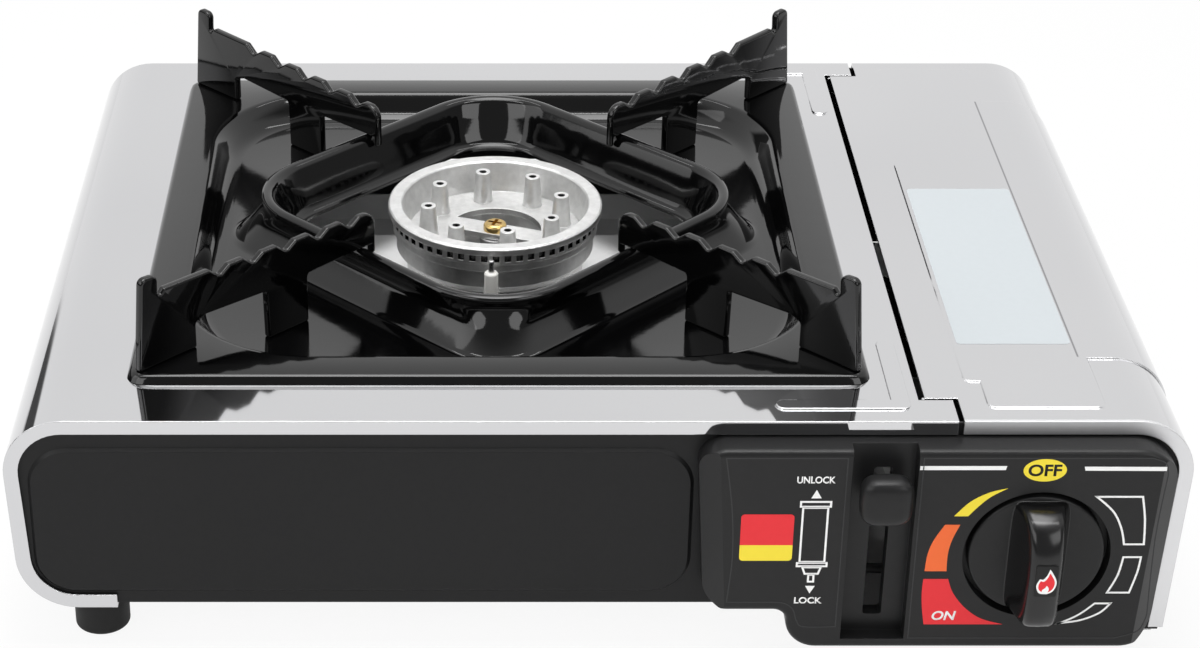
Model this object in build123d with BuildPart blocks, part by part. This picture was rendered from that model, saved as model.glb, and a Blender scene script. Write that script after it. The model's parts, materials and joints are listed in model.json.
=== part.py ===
# Portable gas stove for a lying gas cartridge.
# Millimetres, X to the right, Y to the back, Z up. The origin is on the ground, under the middle of the
# stove's box.
import os
from math import atan2, cos, degrees, hypot, radians, sin, tan

from build123d import *

os.makedirs("parts", exist_ok=True)

# Case, which is as wide and deep as the drip pan, the cartridge bay and their margins
pan_margin = 20.7
pan_left_margin = 33.7
pan_seam_gap = 12.2
bay_width = 78.5
top_height = 78.3
floor_height = 15.0
bay_floor_height = 5.5
sheet = 0.8
corner_radius = 17.5
lower_radius = 17.5
side_lean = 2.0
rim_width = 4.3
rim_round = 1.4
underside_lip = 30.0
fit_gap = 0.3
panel_sheet = 1.0
rear_set_in = 2.6
base_flange = 10.0
bay_run_in = 34.5
bay_side_gap = 5.5
bay_upturn = 14.0
field_side = 6.6
field_low = 20.1
field_drop = 9.3
field_radius = 12.0
field_raise = 1.0
vent_length = 34.0
vent_width = 4.0
vent_pitch_x = 44.0
vent_pitch_z = 9.0
vent_columns = 4
vent_rows = 3
vent_drop = 30.3
bead_width = 5.4
bead_raise = 0.55
bead_round = 0.4
bead_seam_gap = 5.3
bead_run = 33.2
bead_set_in = 9.0
bead_length = 35.0

# Pan opening and drip pan
pan_half = 107.8
pan_corner = 5.0
pan_rest_gap = 0.1
pan_sheet = 1.0
seat_width = 3.2
opening_flange = 4.0
land_rise = 2.5
skirt_run = 1.4
land_width = 13.3
dish_radius = 40.0
dish_wall_run = 5.0
dish_depth = 8.0
dish_round = 4.0
ring_share = 0.5566
ring_radius = 21.0
ring_rise = 11.0
ring_wall_run = 3.0
ring_lip = 3.6
throat_run = 2.5
throat_flange = 4.0
lip_round = 1.6
land_round = 0.8

# Pot supports, measured outwards from the middle of the pan and upwards from the top of the case
support_thickness = 2.6
support_set_in = 0.4
support_horn = 31.8
horn_width = 6.2
horn_lean = 2.6
horn_fall = 0.4
horn_root = 23.6
horn_round = 2.2
notch_round = 0.8
ridge_length = 17.0
ridge_set_in = 11.0
ridge_height = 26.2
tooth_count = 5
tooth_share = 0.197
tooth_depth = 2.4
tooth_run_share = 0.29
tooth_fall = 0.7
tooth_round = 1.3
leg_inner_share = 0.39
leg_outer_share = 0.72
outer_leg_gap = 9.0
window_low = 10.7
window_high = 12.0
window_slope = 4.0
window_round = 1.3
hook_low = 8.0
hook_width = 1.6
hook_gap = 0.8
hook_round = 4.5

# Seam and lid
seam_gap = 2.0
tab_reach = 9.8
tab_depth = 12.0
tab_gap = 1.0
tab_end_gap = 1.6
lid_bottom = 8.0
lid_raise = 0.45
field_seam_gap = 14.5
field_end_gap = 19.1
field_side_gap = 25.3
field_set_in = 7.0
field_step = 15.0
wrap_set_in = 36.0
wrap_low = 14.0
hinge_drop = 2.5
hinge_set_in = 5.0
hinge_pin_radius = 1.2
hinge_clearance = 0.05
pin_fit = 0.02
ear_radius = 4.2
lug_set_in = 2.0

# Control panel
panel_proud = 8.6
panel_run = 63.9
panel_rim_gap = 0.9
panel_drop = 4.85
panel_bottom = 6.5
panel_step_z = 19.5
panel_step_run = 36.5
panel_slant = 3.4
panel_wall = 2.2
panel_corner_top = 8.0
panel_corner_low = 10.0
panel_corner_step = 9.0
panel_corner_inner = 4.0
panel_corner_left = 7.0
panel_round = 1.8
panel_bevel_run = 6.0
panel_bevel_depth = 5.5
well_depth = 4.6
knob_gap = 1.6
channel_width = 18.5
channel_seam_gap = 2.0
channel_depth = 5.0
slot_width = 5.4
slot_low = 15.2
slot_drop = 12.8
slot_round = 1.0

# Control knob, spindle and igniter
knob_offset = 3.6
knob_z = 39.0
knob_radius = 19.5
knob_disc = 3.6
knob_round = 0.8
grip_proud = 15.0
grip_width = 11.0
grip_flare = 3.0
grip_root = 5.0
grip_end = 7.0
grip_draft = 1.5
grip_round = 1.6
sign_width = 6.2
sign_height = 10.0
sign_depth = 0.3
sign_rise = 0.8
sign_round = 1.0
hub_radius = 5.0
hub_length = 10.0
hub_gap = 0.6
spindle_radius = 3.0
spindle_depth = 10.0
running_fit = 0.05
knob_turn = 135.0
cam_set_in = 8.0
cam_width = 5.0
cam_radius = 8.0
cam_lift = 4.0
cam_dwell = 12.0
igniter_length = 20.0
igniter_height = 10.0
igniter_depth = 14.0
igniter_offset = 34.4
plunger_radius = 2.5
plunger_length = 15.0
plunger_gap = 0.3
plunger_round = 2.0

# Lever and cartridge yoke
lever_seam_gap = 11.0
lever_thickness = 2.5
lever_width = 7.0
lever_knob_width = 15.0
lever_knob_height = 14.9
lever_knob_depth = 9.0
lever_knob_out = 3.2
lever_knob_round = 4.5
lever_stop_gap = 5.85
lever_slot_spare = 20.3
lever_tube_gap = 1.8
lever_pin_radius = 2.0
lever_pin_head = 1.2
lever_pin_head_radius = 3.2
lever_cheek_half = 5.0
lever_cheek = 1.5
lever_cheek_gap = 0.9
lever_foot = 10.0
yoke_travel = 5.0
yoke_sheet = 1.5
yoke_set_in = 52.0
yoke_inner = 16.0
yoke_outer = 26.0
yoke_link_gap = 1.8
yoke_link_height = 10.0
crank_pin_radius = 1.5
crank_pin_gap = 0.3
guide_pin_radius = 1.8
guide_pin_circle = 21.0
guide_pin_overrun = 4.5
guide_pin_head = 2.7

# Cartridge bay and regulator
cartridge_radius = 33.0
cartridge_side = 41.0
cradle_lift = 1.5
cradle_half_angle = 34.0
cradle_front = 80.0
cradle_rear = 40.0
partition_seam_gap = 1.5
partition_start = 72.0
partition_foot = 8.0
regulator_front = 20.0
regulator_length = 22.3
regulator_radius = 17.0
bracket_sheet = 1.5
bracket_reach_left = 27.0
bracket_reach_right = 31.0
bracket_drop = 12.3
bracket_foot = 9.0
inlet_radius = 9.0
inlet_length = 8.0
inlet_bore = 4.0
inlet_bore_depth = 9.0
seal_inner = 4.5
seal_outer = 7.5
seal_height = 1.4
chamber_radius = 10.5
chamber_reach = 20.0
chamber_bore = 8.5
chamber_bore_depth = 6.0
diaphragm_sheet = 1.0
cover_height = 8.0
cover_wall = 1.5
spring_radius = 5.0
spring_wire = 1.2
key_width = 8.0
key_length = 11.0
regulator_screw_circle = 13.5
regulator_screw_count = 3
regulator_screw_depth = 7.0

# Burner, mixing tube and electrode
burner_top_rise = 6.4
burner_radius = 34.5
burner_inner = 29.9
burner_rim = 2.4
port_ring = 1.0
port_step = 1.2
rim_edge = 0.5
port_count = 56
port_depth = 1.3
port_width = 2.1
port_height = 2.7
cup_depth = 10.0
cup_floor = 2.0
cup_taper = 2.0
burner_wall = 0.8
cap_fit = 0.2
vent_radius = 15.0
bridge_width = 8.0
bridge_turn = -21.0
peg_count = 8
peg_turn = 10.0
peg_circle = 21.8
peg_foot = 3.2
peg_top = 2.4
peg_bore = 1.2
peg_bore_depth = 4.0
peg_over = 0.3
body_flange = 33.0
body_flange_height = 2.6
body_collar = 31.9
body_radius = 28.5
body_wall = 2.2
body_waist_drop = 11.8
bowl_drop = 16.3
body_low_drop = 24.3
neck_radius = 9.0
neck_top_drop = 38.3
neck_low_z = 17.4
neck_bore = 6.0
plenum_radius = 12.0
plenum_height = 10.0
gas_hole = 2.0
gas_hole_circle = 9.0
gas_hole_count = 6
screw_post = 5.0
screw_head = 3.75
screw_head_height = 2.4
screw_radius = 2.0
screw_depth = 12.0
cross_width = 1.1
cross_length = 4.6
inlet_z = 25.0
socket_radius = 7.6
socket_reach = 26.0
socket_depth = 12.0
tube_radius = 5.5
tube_bore = 4.6
mouth_radius = 8.0
mouth_length = 10.0
outlet_radius = 5.5
outlet_length = 13.0
outlet_offset = 10.0
outlet_set_in = 1.0
nozzle_hex = 4.0
nozzle_sides = 6
nozzle_length = 5.0
nozzle_tip = 1.8
nozzle_tip_length = 5.0
nozzle_bore = 0.4
mouth_gap = 2.0
strip_drop = 29.3
strip_sheet = 1.2
strip_half_width = 30.0
strip_rear = 44.0
strip_margin = 37.8
strip_hole = 27.0
strip_foot = 12.0
lug_reach = 40.0
lug_width = 10.0
lug_height = 3.0
bracket_screw_at = 36.2
bracket_screw_radius = 1.5
bracket_screw_head = 2.8
electrode_offset = 1.5
electrode_gap = 2.0
electrode_radius = 2.25
electrode_length = 38.0
electrode_collar = 3.4
electrode_collar_height = 4.0
electrode_tip_radius = 0.9
electrode_tip_rise = 4.0
clip_sheet = 1.0
clip_wall = 2.2
clip_overlap = 4.0
lead_diameter = 3.0
lead_level = 20.5
lead_rise = 1.5
lead_set_in = 12.0
lead_start = 5.0
lead_bend_share = 0.45
lead_route = ((0.15, 0.006), (0.354, 0.075), (0.559, 0.25), (0.748, 0.5), (0.906, 0.775))

# Feet and fasteners
foot_radius = 8.15
foot_left_side = 23.1
foot_right_side = 30.0
foot_set_in = 15.0
foot_round = 1.2
foot_recess = 4.5
foot_web = 3.0
foot_screw_head = 4.0
foot_screw_head_height = 1.4
foot_screw_radius = 2.0
foot_screw_end = 4.0
panel_screw_head = 3.0
panel_screw_head_height = 1.6
panel_screw_radius = 1.5
panel_screw_z = 21.5
panel_screw_shares = (-0.756, -0.032, 0.682)

# Places that follow from the sizes above
quarter_turn = 90.0
half_turn = 180.0
body_width = pan_left_margin + 2 * pan_half + pan_seam_gap + bay_width
body_depth = 2 * (pan_half + pan_margin)
front_reach = panel_proud + grip_proud
y_front = (front_reach - body_depth) / 2
y_back = y_front + body_depth
y_mid = (y_front + y_back) / 2
y_face = y_front - panel_proud
half_width = body_width / 2
pan_x = pan_left_margin + pan_half - half_width
seam_x = pan_x + pan_half + pan_seam_gap
cartridge_x = half_width - cartridge_side
knob_x = cartridge_x - knob_offset
lever_x = seam_x - lever_seam_gap
igniter_left = knob_x - igniter_offset
partition_x = seam_x - partition_seam_gap
tab_end_x = seam_x + tab_reach
bay_left = seam_x - bay_run_in
bay_right = half_width - bay_side_gap
bead_x = seam_x - bead_seam_gap
field_left = field_side - half_width
field_high = top_height - field_drop
field_x = seam_x + field_seam_gap
field_end_x = seam_x + field_end_gap
field_right_x = half_width - field_side_gap
panel_left = seam_x - panel_run
panel_step_x = seam_x - panel_step_run
panel_top = top_height - panel_drop
channel_right = seam_x - channel_seam_gap
channel_left = channel_right - channel_width
slot_high = top_height - slot_drop
foot_left_x = foot_left_side - half_width
foot_right_x = half_width - foot_right_side
bracket_left = cartridge_x - bracket_reach_left
bracket_right = cartridge_x + bracket_reach_right
bracket_top = top_height - bracket_drop
panel_screw_xs = [pan_x + pan_half * share for share in panel_screw_shares]
lid_half = half_width - lid_raise
lip_end_x = underside_lip - half_width
lid_edge_x = seam_x + seam_gap
lid_notch_x = tab_end_x + tab_end_gap
hinge_x = seam_x + hinge_set_in
hinge_z = top_height - hinge_drop
y_panel_front = y_front + sheet + fit_gap
y_panel_back = y_panel_front + panel_sheet
y_rear_face = y_back - rear_set_in
y_rear_inside = y_rear_face - panel_sheet
base_z = floor_height + sheet
base_top = base_z + sheet
bay_top = bay_floor_height + sheet
opening_half = pan_half - seat_width
pan_z = top_height + pan_rest_gap
land_z = pan_z + land_rise
dish_z = land_z - dish_depth
ring_z = top_height + ring_rise
cartridge_z = bay_top + cradle_lift + cartridge_radius
cradle_radius = cartridge_radius + fit_gap
regulator_screw_angle = 180 + degrees(atan2(cartridge_z - knob_z, cartridge_x - knob_x))
y_regulator = y_front + regulator_front
y_bracket = y_regulator + regulator_length
y_inlet = y_bracket + bracket_sheet + inlet_length
y_yoke = y_front + yoke_set_in
burner_z = top_height + burner_top_rise
cap_low_z = burner_z - cup_depth - cup_floor
port_low_z = burner_z - burner_rim - port_height
body_waist_z = top_height - body_waist_drop
bowl_z = top_height - bowl_drop
body_low_z = top_height - body_low_drop
neck_top_z = top_height - neck_top_drop
strip_z = top_height - strip_drop
strip_top = strip_z + strip_sheet
strip_half_length = pan_half - strip_margin
electrode_x = pan_x - electrode_offset
y_electrode = y_mid - burner_radius - electrode_gap
electrode_top = top_height - fit_gap
electrode_low_z = electrode_top - electrode_length
vent_z = top_height - vent_drop

# The gas runs along one level line from the regulator to the burner
outlet_x = knob_x - outlet_offset
outlet_y = y_regulator + outlet_set_in
gas_run = hypot(pan_x - outlet_x, y_mid - outlet_y)
gas_x = (pan_x - outlet_x) / gas_run
gas_y = (y_mid - outlet_y) / gas_run

# The lever turns behind the mixing tube, swings evenly about level, and its crank is upright half way
arm_left = lever_x - lever_thickness / 2
arm_right = lever_x + lever_thickness / 2
cheek_right = arm_left - lever_cheek_gap
cheek_left = cheek_right - lever_cheek
tube_back_y = outlet_y + (cheek_left - outlet_x) * gas_y / gas_x - tube_radius / gas_x
lever_y = y_face - lever_knob_out
lever_knob_z = slot_high - lever_stop_gap
lever_travel = slot_high - slot_low - lever_slot_spare
pivot_y = tube_back_y + lever_cheek_half + lever_tube_gap
pivot_z = lever_knob_z - lever_travel / 2
lever_half_swing = atan2(lever_travel / 2, pivot_y - lever_y)
crank_length = yoke_travel / (2 * sin(lever_half_swing))
crank_y = pivot_y + crank_length * sin(lever_half_swing)
crank_z = pivot_z + crank_length * cos(lever_half_swing)
yoke_arm_rise = crank_z - cartridge_z


def front_plane(y):
    # Faces the front: a sketch reads X and Z, and a positive extrusion comes forward
    return Plane.XZ.offset(-y)


def lean_at(z):
    straight = top_height - corner_radius - floor_height
    return side_lean * (top_height - corner_radius - z) / straight


def left_side(z):
    return lean_at(z) - half_width


def right_side(z):
    return lid_half - lean_at(z)


def gas_plane(distance):
    # Square to the gas line, facing the burner, at a distance from the regulator's outlet
    place = (outlet_x + gas_x * distance, outlet_y + gas_y * distance, inlet_z)
    return Plane(origin=place, x_dir=(0, 0, 1), z_dir=(gas_x, gas_y, 0))


def shell_band(y, width):
    # The case seen from the front: top, rounded left side and lip underneath
    def line(inset):
        return [
            (tab_end_x, top_height - inset),
            (left_side(top_height) + inset, top_height - inset),
            (left_side(floor_height) + inset, floor_height + inset),
            (lip_end_x, floor_height + inset),
        ]

    outer_radii = [0, corner_radius, lower_radius, 0]
    inner_radii = [0, lower_radius - width, corner_radius - width, 0]
    with BuildSketch(front_plane(y)) as band:
        with BuildLine():
            FilletPolyline(*line(0), *reversed(line(width)), radius=outer_radii + inner_radii, close=True)
        make_face()
    return band.sketch


def lid_band(y, start_x, end_z, outside, inside):
    # The lid seen from the front, between two depths below its plain surface
    def line(inset):
        return [
            (start_x, top_height - inset),
            (right_side(top_height) - inset, top_height - inset),
            (right_side(end_z) - inset, end_z),
        ]

    outer_radii = [0, corner_radius - outside, 0]
    inner_radii = [0, corner_radius - inside, 0]
    points = line(outside) + line(inside)[::-1]
    with BuildSketch(front_plane(y)) as band:
        with BuildLine():
            FilletPolyline(*points, radius=outer_radii + inner_radii, close=True)
        make_face()
    return band.sketch


def end_outline(y, inset):
    # The whole end of the case, which the front and rear panels close
    corners = [
        (left_side(top_height) + inset, top_height - inset),
        (right_side(top_height) - inset, top_height - inset),
        (right_side(bay_top) - inset, bay_top + fit_gap),
        (bay_left, bay_top + fit_gap),
        (bay_left, base_z + fit_gap),
        (left_side(floor_height) + inset, base_z + fit_gap),
    ]
    radii = [corner_radius - inset, corner_radius - inset, 0, 0, 0, lower_radius - inset]
    with BuildSketch(front_plane(y)) as outline:
        with BuildLine():
            FilletPolyline(*corners, radius=radii, close=True)
        make_face()
    return outline.sketch


def rounded_square(z, half, radius, turn=0):
    with BuildSketch(Plane.XY.offset(z)) as square:
        with Locations((pan_x, y_mid)):
            RectangleRounded(2 * half, 2 * half, radius, rotation=turn)
    return square.sketch


def on_rim(edge):
    # The outer line of the folded front and rear rims
    middle = edge.position_at(0.5)
    if edge.geom_type == GeomType.CIRCLE:
        return any(abs(edge.radius - radius) < fit_gap for radius in (corner_radius, lower_radius))
    sides = (middle.X - left_side(middle.Z), right_side(middle.Z) - middle.X)
    return min(*sides, top_height - middle.Z, abs(middle.Z - floor_height)) < fit_gap


def rim_edges(builder):
    ends = builder.edges().filter_by_position(Axis.Y, y_front, y_front)
    ends += builder.edges().filter_by_position(Axis.Y, y_back, y_back)
    long_edges = [edge for edge in ends if edge.length > rim_width]
    return [edge for edge in long_edges if on_rim(edge)]


# Body shell: polished sheet with folded rims, the pan opening, stiffening beads and hinge lugs
with BuildPart() as body_shell:
    extrude(shell_band(y_back, sheet), amount=body_depth)
    for rim_y in (y_front + sheet, y_back):
        extrude(shell_band(rim_y, rim_width), amount=sheet)
    fillet(rim_edges(body_shell), radius=rim_round)
    extrude(rounded_square(top_height, opening_half, pan_corner), amount=-2 * sheet, mode=Mode.SUBTRACT)
    with BuildSketch(Plane.XY.offset(top_height)):
        with Locations((pan_x, y_mid)):
            RectangleRounded(2 * (opening_half + sheet), 2 * (opening_half + sheet), pan_corner + sheet)
            RectangleRounded(2 * opening_half, 2 * opening_half, pan_corner, mode=Mode.SUBTRACT)
    extrude(amount=-opening_flange)
    with BuildSketch(Plane.XY.offset(top_height)):
        with Locations(((seam_x + tab_end_x) / 2, y_mid)):
            Rectangle(tab_end_x - seam_x, body_depth - 2 * tab_depth)
    extrude(amount=-2 * sheet, mode=Mode.SUBTRACT)
    for bead_y, inwards in ((y_front + bead_set_in, 1), (y_back - bead_set_in, -1)):
        with BuildSketch(Plane.XY.offset(top_height - sheet / 2)):
            with Locations((bead_x - bead_run / 2, bead_y)):
                SlotCenterToCenter(bead_run, bead_width)
            with Locations((bead_x, bead_y + inwards * bead_length / 2)):
                SlotCenterToCenter(bead_length, bead_width, rotation=90)
        extrude(amount=sheet / 2 + bead_raise)
    fillet(body_shell.edges().group_by(Axis.Z)[-1], radius=bead_round)
    for lug_y in (y_front + tab_depth - lug_set_in, y_back - tab_depth + lug_set_in + sheet):
        with BuildSketch(front_plane(lug_y)):
            with Locations((hinge_x, top_height - sheet)):
                Rectangle(2 * ear_radius, hinge_drop + ear_radius, align=(Align.CENTER, Align.MAX))
            with Locations((hinge_x, hinge_z)):
                Circle(hinge_pin_radius + pin_fit, mode=Mode.SUBTRACT)
        extrude(amount=sheet)
    for foot_y in (y_front + foot_set_in, y_back - foot_set_in):
        with Locations((foot_left_x, foot_y, floor_height)):
            Cylinder(foot_screw_radius + running_fit, 4 * sheet, mode=Mode.SUBTRACT)
body_shell.part.label = "body_shell"
export_step(body_shell.part, "parts/body_shell.step")

# Front panel: painted sheet behind the rim, with a raised field and openings for spindle and lever
with BuildPart() as front_panel:
    extrude(end_outline(y_panel_back, sheet + fit_gap), amount=panel_sheet)
    with BuildSketch(front_plane(y_panel_back)):
        with Locations((knob_x, knob_z)):
            Circle(hub_radius + 2 * hub_gap)
        with Locations((lever_x, (slot_low + slot_high) / 2)):
            RectangleRounded(2 * slot_width, slot_high - slot_low + slot_width, slot_round)
    extrude(amount=panel_sheet, mode=Mode.SUBTRACT)
    field_right = panel_left - fit_gap
    with BuildSketch(front_plane(y_panel_front)):
        with Locations(((field_left + field_right) / 2, (field_low + field_high) / 2)):
            RectangleRounded(field_right - field_left, field_high - field_low, field_radius)
    extrude(amount=field_raise, taper=45)
front_panel.part.label = "front_panel"
export_step(front_panel.part, "parts/front_panel.step")

# Rear panel: painted sheet with rows of vents
with BuildPart() as rear_panel:
    extrude(end_outline(y_rear_face, sheet + fit_gap), amount=panel_sheet)
    with BuildSketch(front_plane(y_rear_face)):
        with Locations((pan_x, vent_z)):
            with GridLocations(vent_pitch_x, vent_pitch_z, vent_columns, vent_rows):
                SlotOverall(vent_length, vent_width)
        for screw_x in panel_screw_xs:
            with Locations((screw_x, panel_screw_z)):
                Circle(panel_screw_radius + pin_fit)
    extrude(amount=panel_sheet, mode=Mode.SUBTRACT)
rear_panel.part.label = "rear_panel"
export_step(rear_panel.part, "parts/rear_panel.step")

# Base plate: folded sheet, level under the burner and lower under the cartridge
base_left = left_side(floor_height) + lower_radius + fit_gap
with BuildPart() as base_plate:
    with BuildSketch(front_plane(y_rear_inside)):
        with BuildLine():
            Polyline(
                (base_left, base_z),
                (bay_left, base_z),
                (bay_left, bay_floor_height),
                (bay_right, bay_floor_height),
                (bay_right, bay_floor_height + bay_upturn),
                (bay_right - sheet, bay_floor_height + bay_upturn),
                (bay_right - sheet, bay_top),
                (bay_left + sheet, bay_top),
                (bay_left + sheet, base_top),
                (base_left, base_top),
                close=True,
            )
        make_face()
    extrude(amount=y_rear_inside - y_panel_back)
    flange_left = min(panel_screw_xs) - base_flange
    flange_right = max(panel_screw_xs) + base_flange
    for flange_y in (y_panel_back + sheet, y_rear_inside):
        with BuildSketch(front_plane(flange_y)):
            with Locations(((flange_left + flange_right) / 2, base_top)):
                Rectangle(flange_right - flange_left, base_flange, align=(Align.CENTER, Align.MIN))
            if flange_y == y_rear_inside:
                for screw_x in panel_screw_xs:
                    with Locations((screw_x, panel_screw_z)):
                        Circle(panel_screw_radius + pin_fit, mode=Mode.SUBTRACT)
        extrude(amount=sheet)
    for foot_x, foot_z in ((foot_left_x, base_z), (foot_right_x, bay_floor_height)):
        for foot_y in (y_front + foot_set_in, y_back - foot_set_in):
            with Locations((foot_x, foot_y, foot_z)):
                Cylinder(foot_screw_radius + running_fit, 4 * sheet, mode=Mode.SUBTRACT)
base_plate.part.label = "base_plate"
export_step(base_plate.part, "parts/base_plate.step")

# Control panel: hollow moulding with a round well for the knob and an upright channel for the lever
channel_middle = (channel_left + channel_right) / 2


def panel_left_at(z):
    return panel_left + panel_slant * (panel_top - z) / (panel_top - panel_step_z)


def panel_right_at(z):
    return right_side(z) - rim_width - panel_rim_gap


def control_outline(y, inset):
    corners = [
        (panel_left + inset, panel_top - inset),
        (panel_right_at(panel_top) - inset, panel_top - inset),
        (panel_right_at(panel_bottom) - inset, panel_bottom + inset),
        (panel_step_x + inset, panel_bottom + inset),
        (panel_step_x + inset, panel_step_z + inset),
        (panel_left + panel_slant + inset, panel_step_z + inset),
    ]
    radii = [
        panel_corner_top - inset,
        corner_radius - rim_width - inset,
        panel_corner_low - inset,
        panel_corner_step - inset,
        panel_corner_inner + inset,
        panel_corner_left - inset,
    ]
    with BuildSketch(front_plane(y)) as outline:
        with BuildLine():
            FilletPolyline(*corners, radius=radii, close=True)
        make_face()
    return outline.sketch


with BuildPart() as control_panel:
    extrude(control_outline(y_panel_front, 0), amount=y_panel_front - y_face)
    face_line = control_panel.faces().sort_by(Axis.Y)[0].outer_wire().edges()
    fillet(face_line, radius=panel_round)
    for edge_at, inwards in ((panel_left_at, panel_bevel_run), (panel_right_at, -panel_bevel_run)):
        for wedge_z in (panel_bottom - panel_wall, panel_top + panel_wall):
            with BuildSketch(Plane.XY.offset(wedge_z)):
                with BuildLine():
                    Polyline(
                        (edge_at(wedge_z) + inwards * 3 / 2, y_face - panel_bevel_depth / 2),
                        (edge_at(wedge_z) - inwards / 2, y_face + panel_bevel_depth * 3 / 2),
                        (edge_at(wedge_z) - inwards / 2, y_face - panel_bevel_depth / 2),
                        close=True,
                    )
                make_face()
        loft(ruled=True, mode=Mode.SUBTRACT)
    with BuildSketch(front_plane(y_panel_front)):
        add(control_outline(y_panel_front, panel_wall))
        with Locations((knob_x, knob_z)):
            Circle(knob_radius + knob_gap + panel_wall, mode=Mode.SUBTRACT)
        with Locations((channel_middle, (panel_top + panel_bottom) / 2)):
            Rectangle(channel_width + 2 * panel_wall, panel_top - panel_bottom, mode=Mode.SUBTRACT)
        for side_x in (panel_left, panel_right_at(panel_bottom)):
            with Locations((side_x, (panel_top + panel_bottom) / 2)):
                Rectangle(4 * panel_bevel_run, panel_top, mode=Mode.SUBTRACT)
    extrude(amount=y_panel_front - y_face - panel_wall, mode=Mode.SUBTRACT)
    with BuildSketch(front_plane(y_face + well_depth)):
        with Locations((knob_x, knob_z)):
            Circle(knob_radius + knob_gap)
    extrude(amount=well_depth, mode=Mode.SUBTRACT)
    with BuildSketch(front_plane(y_panel_front)):
        with Locations((knob_x, knob_z)):
            Circle(hub_radius + hub_gap)
        with Locations((lever_x, (slot_low + slot_high) / 2)):
            RectangleRounded(slot_width, slot_high - slot_low, slot_round)
    extrude(amount=y_panel_front - y_face, mode=Mode.SUBTRACT)
    with BuildSketch(front_plane(y_face + channel_depth)):
        with Locations((channel_middle, (panel_top + panel_bottom + 2 * panel_wall) / 2)):
            Rectangle(channel_width, panel_top - panel_bottom - panel_wall)
    extrude(amount=channel_depth, mode=Mode.SUBTRACT)
control_panel.part.label = "control_panel"
export_step(control_panel.part, "parts/control_panel.step")

# Control knob: disc with a tall grip bar, a shallow place for its sign and a hub behind
with BuildPart() as control_knob:
    with BuildSketch(front_plane(y_face + knob_disc)):
        with Locations((knob_x, knob_z)):
            Circle(knob_radius)
    extrude(amount=knob_disc)
    fillet(control_knob.edges().group_by(Axis.Y)[0], radius=knob_round)
    grip_sections = (
        (y_face + knob_round, grip_width + 2 * grip_flare, knob_radius - knob_round),
        (y_face - grip_root, grip_width, knob_radius - grip_root),
        (y_front - front_reach, grip_width - grip_draft, knob_radius - grip_end),
    )
    for lower, upper in zip(grip_sections, grip_sections[1:]):
        for section_y, width, half in (lower, upper):
            with BuildSketch(front_plane(section_y)):
                with Locations((knob_x, knob_z)):
                    Rectangle(width, 2 * half)
        loft(ruled=True)
    fillet(control_knob.edges().group_by(Axis.Y)[0], radius=grip_round)
    with BuildSketch(front_plane(y_front - front_reach)):
        with Locations((knob_x, knob_z + sign_rise)):
            RectangleRounded(sign_width, sign_height, sign_round)
    extrude(amount=-sign_depth, mode=Mode.SUBTRACT)
    with BuildSketch(front_plane(y_face + knob_disc + hub_length)):
        with Locations((knob_x, knob_z)):
            Circle(hub_radius)
    extrude(amount=hub_length)
    with BuildSketch(front_plane(y_face + knob_disc + hub_length)):
        with Locations((knob_x, knob_z)):
            Circle(spindle_radius + pin_fit)
    extrude(amount=hub_length, mode=Mode.SUBTRACT)
control_knob.part.label = "control_knob"
export_step(control_knob.part, "parts/control_knob.step")

# Valve spindle: from the knob's hub into the regulator
spindle_start = y_face + knob_disc + hub_gap
spindle_end = y_regulator + spindle_depth
with BuildPart() as valve_spindle:
    with BuildSketch(front_plane(spindle_end)):
        with Locations((knob_x, knob_z)):
            Circle(spindle_radius)
    extrude(amount=spindle_end - spindle_start)
valve_spindle.part.label = "valve_spindle"
export_step(valve_spindle.part, "parts/valve_spindle.step")


# Igniter cam: its radius grows evenly with the knob's turn, so the plunger moves in step with the knob
def cam_point(angle, radius):
    return (knob_x + radius * cos(radians(angle)), knob_z + radius * sin(radians(angle)))


def cam_rise(angle):
    return cam_point(angle, cam_radius + cam_lift * (half_turn - angle) / knob_turn)


cam_end = half_turn - knob_turn
cam_top = cam_radius + cam_lift
y_cam = y_front + cam_set_in
with BuildPart() as igniter_cam:
    with BuildSketch(front_plane(y_cam + cam_width)):
        with BuildLine():
            for low_share, high_share in ((0, 0.5), (0.5, 1)):
                shares = (low_share, (low_share + high_share) / 2, high_share)
                angles = [half_turn - knob_turn * share for share in shares]
                ThreePointArc(*[cam_rise(angle) for angle in angles])
            dwell_angles = (cam_end, cam_end - cam_dwell / 2, cam_end - cam_dwell)
            ThreePointArc(*[cam_point(angle, cam_top) for angle in dwell_angles])
            Line(cam_point(cam_end - cam_dwell, cam_top), cam_point(cam_end - cam_dwell, cam_radius))
            back_angles = (cam_end - cam_dwell, (cam_end - cam_dwell - half_turn) / 2, -half_turn)
            ThreePointArc(*[cam_point(angle, cam_radius) for angle in back_angles])
        make_face()
        with Locations((knob_x, knob_z)):
            Circle(spindle_radius + pin_fit, mode=Mode.SUBTRACT)
    extrude(amount=cam_width)
igniter_cam.part.label = "igniter_cam"
export_step(igniter_cam.part, "parts/igniter_cam.step")

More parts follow.
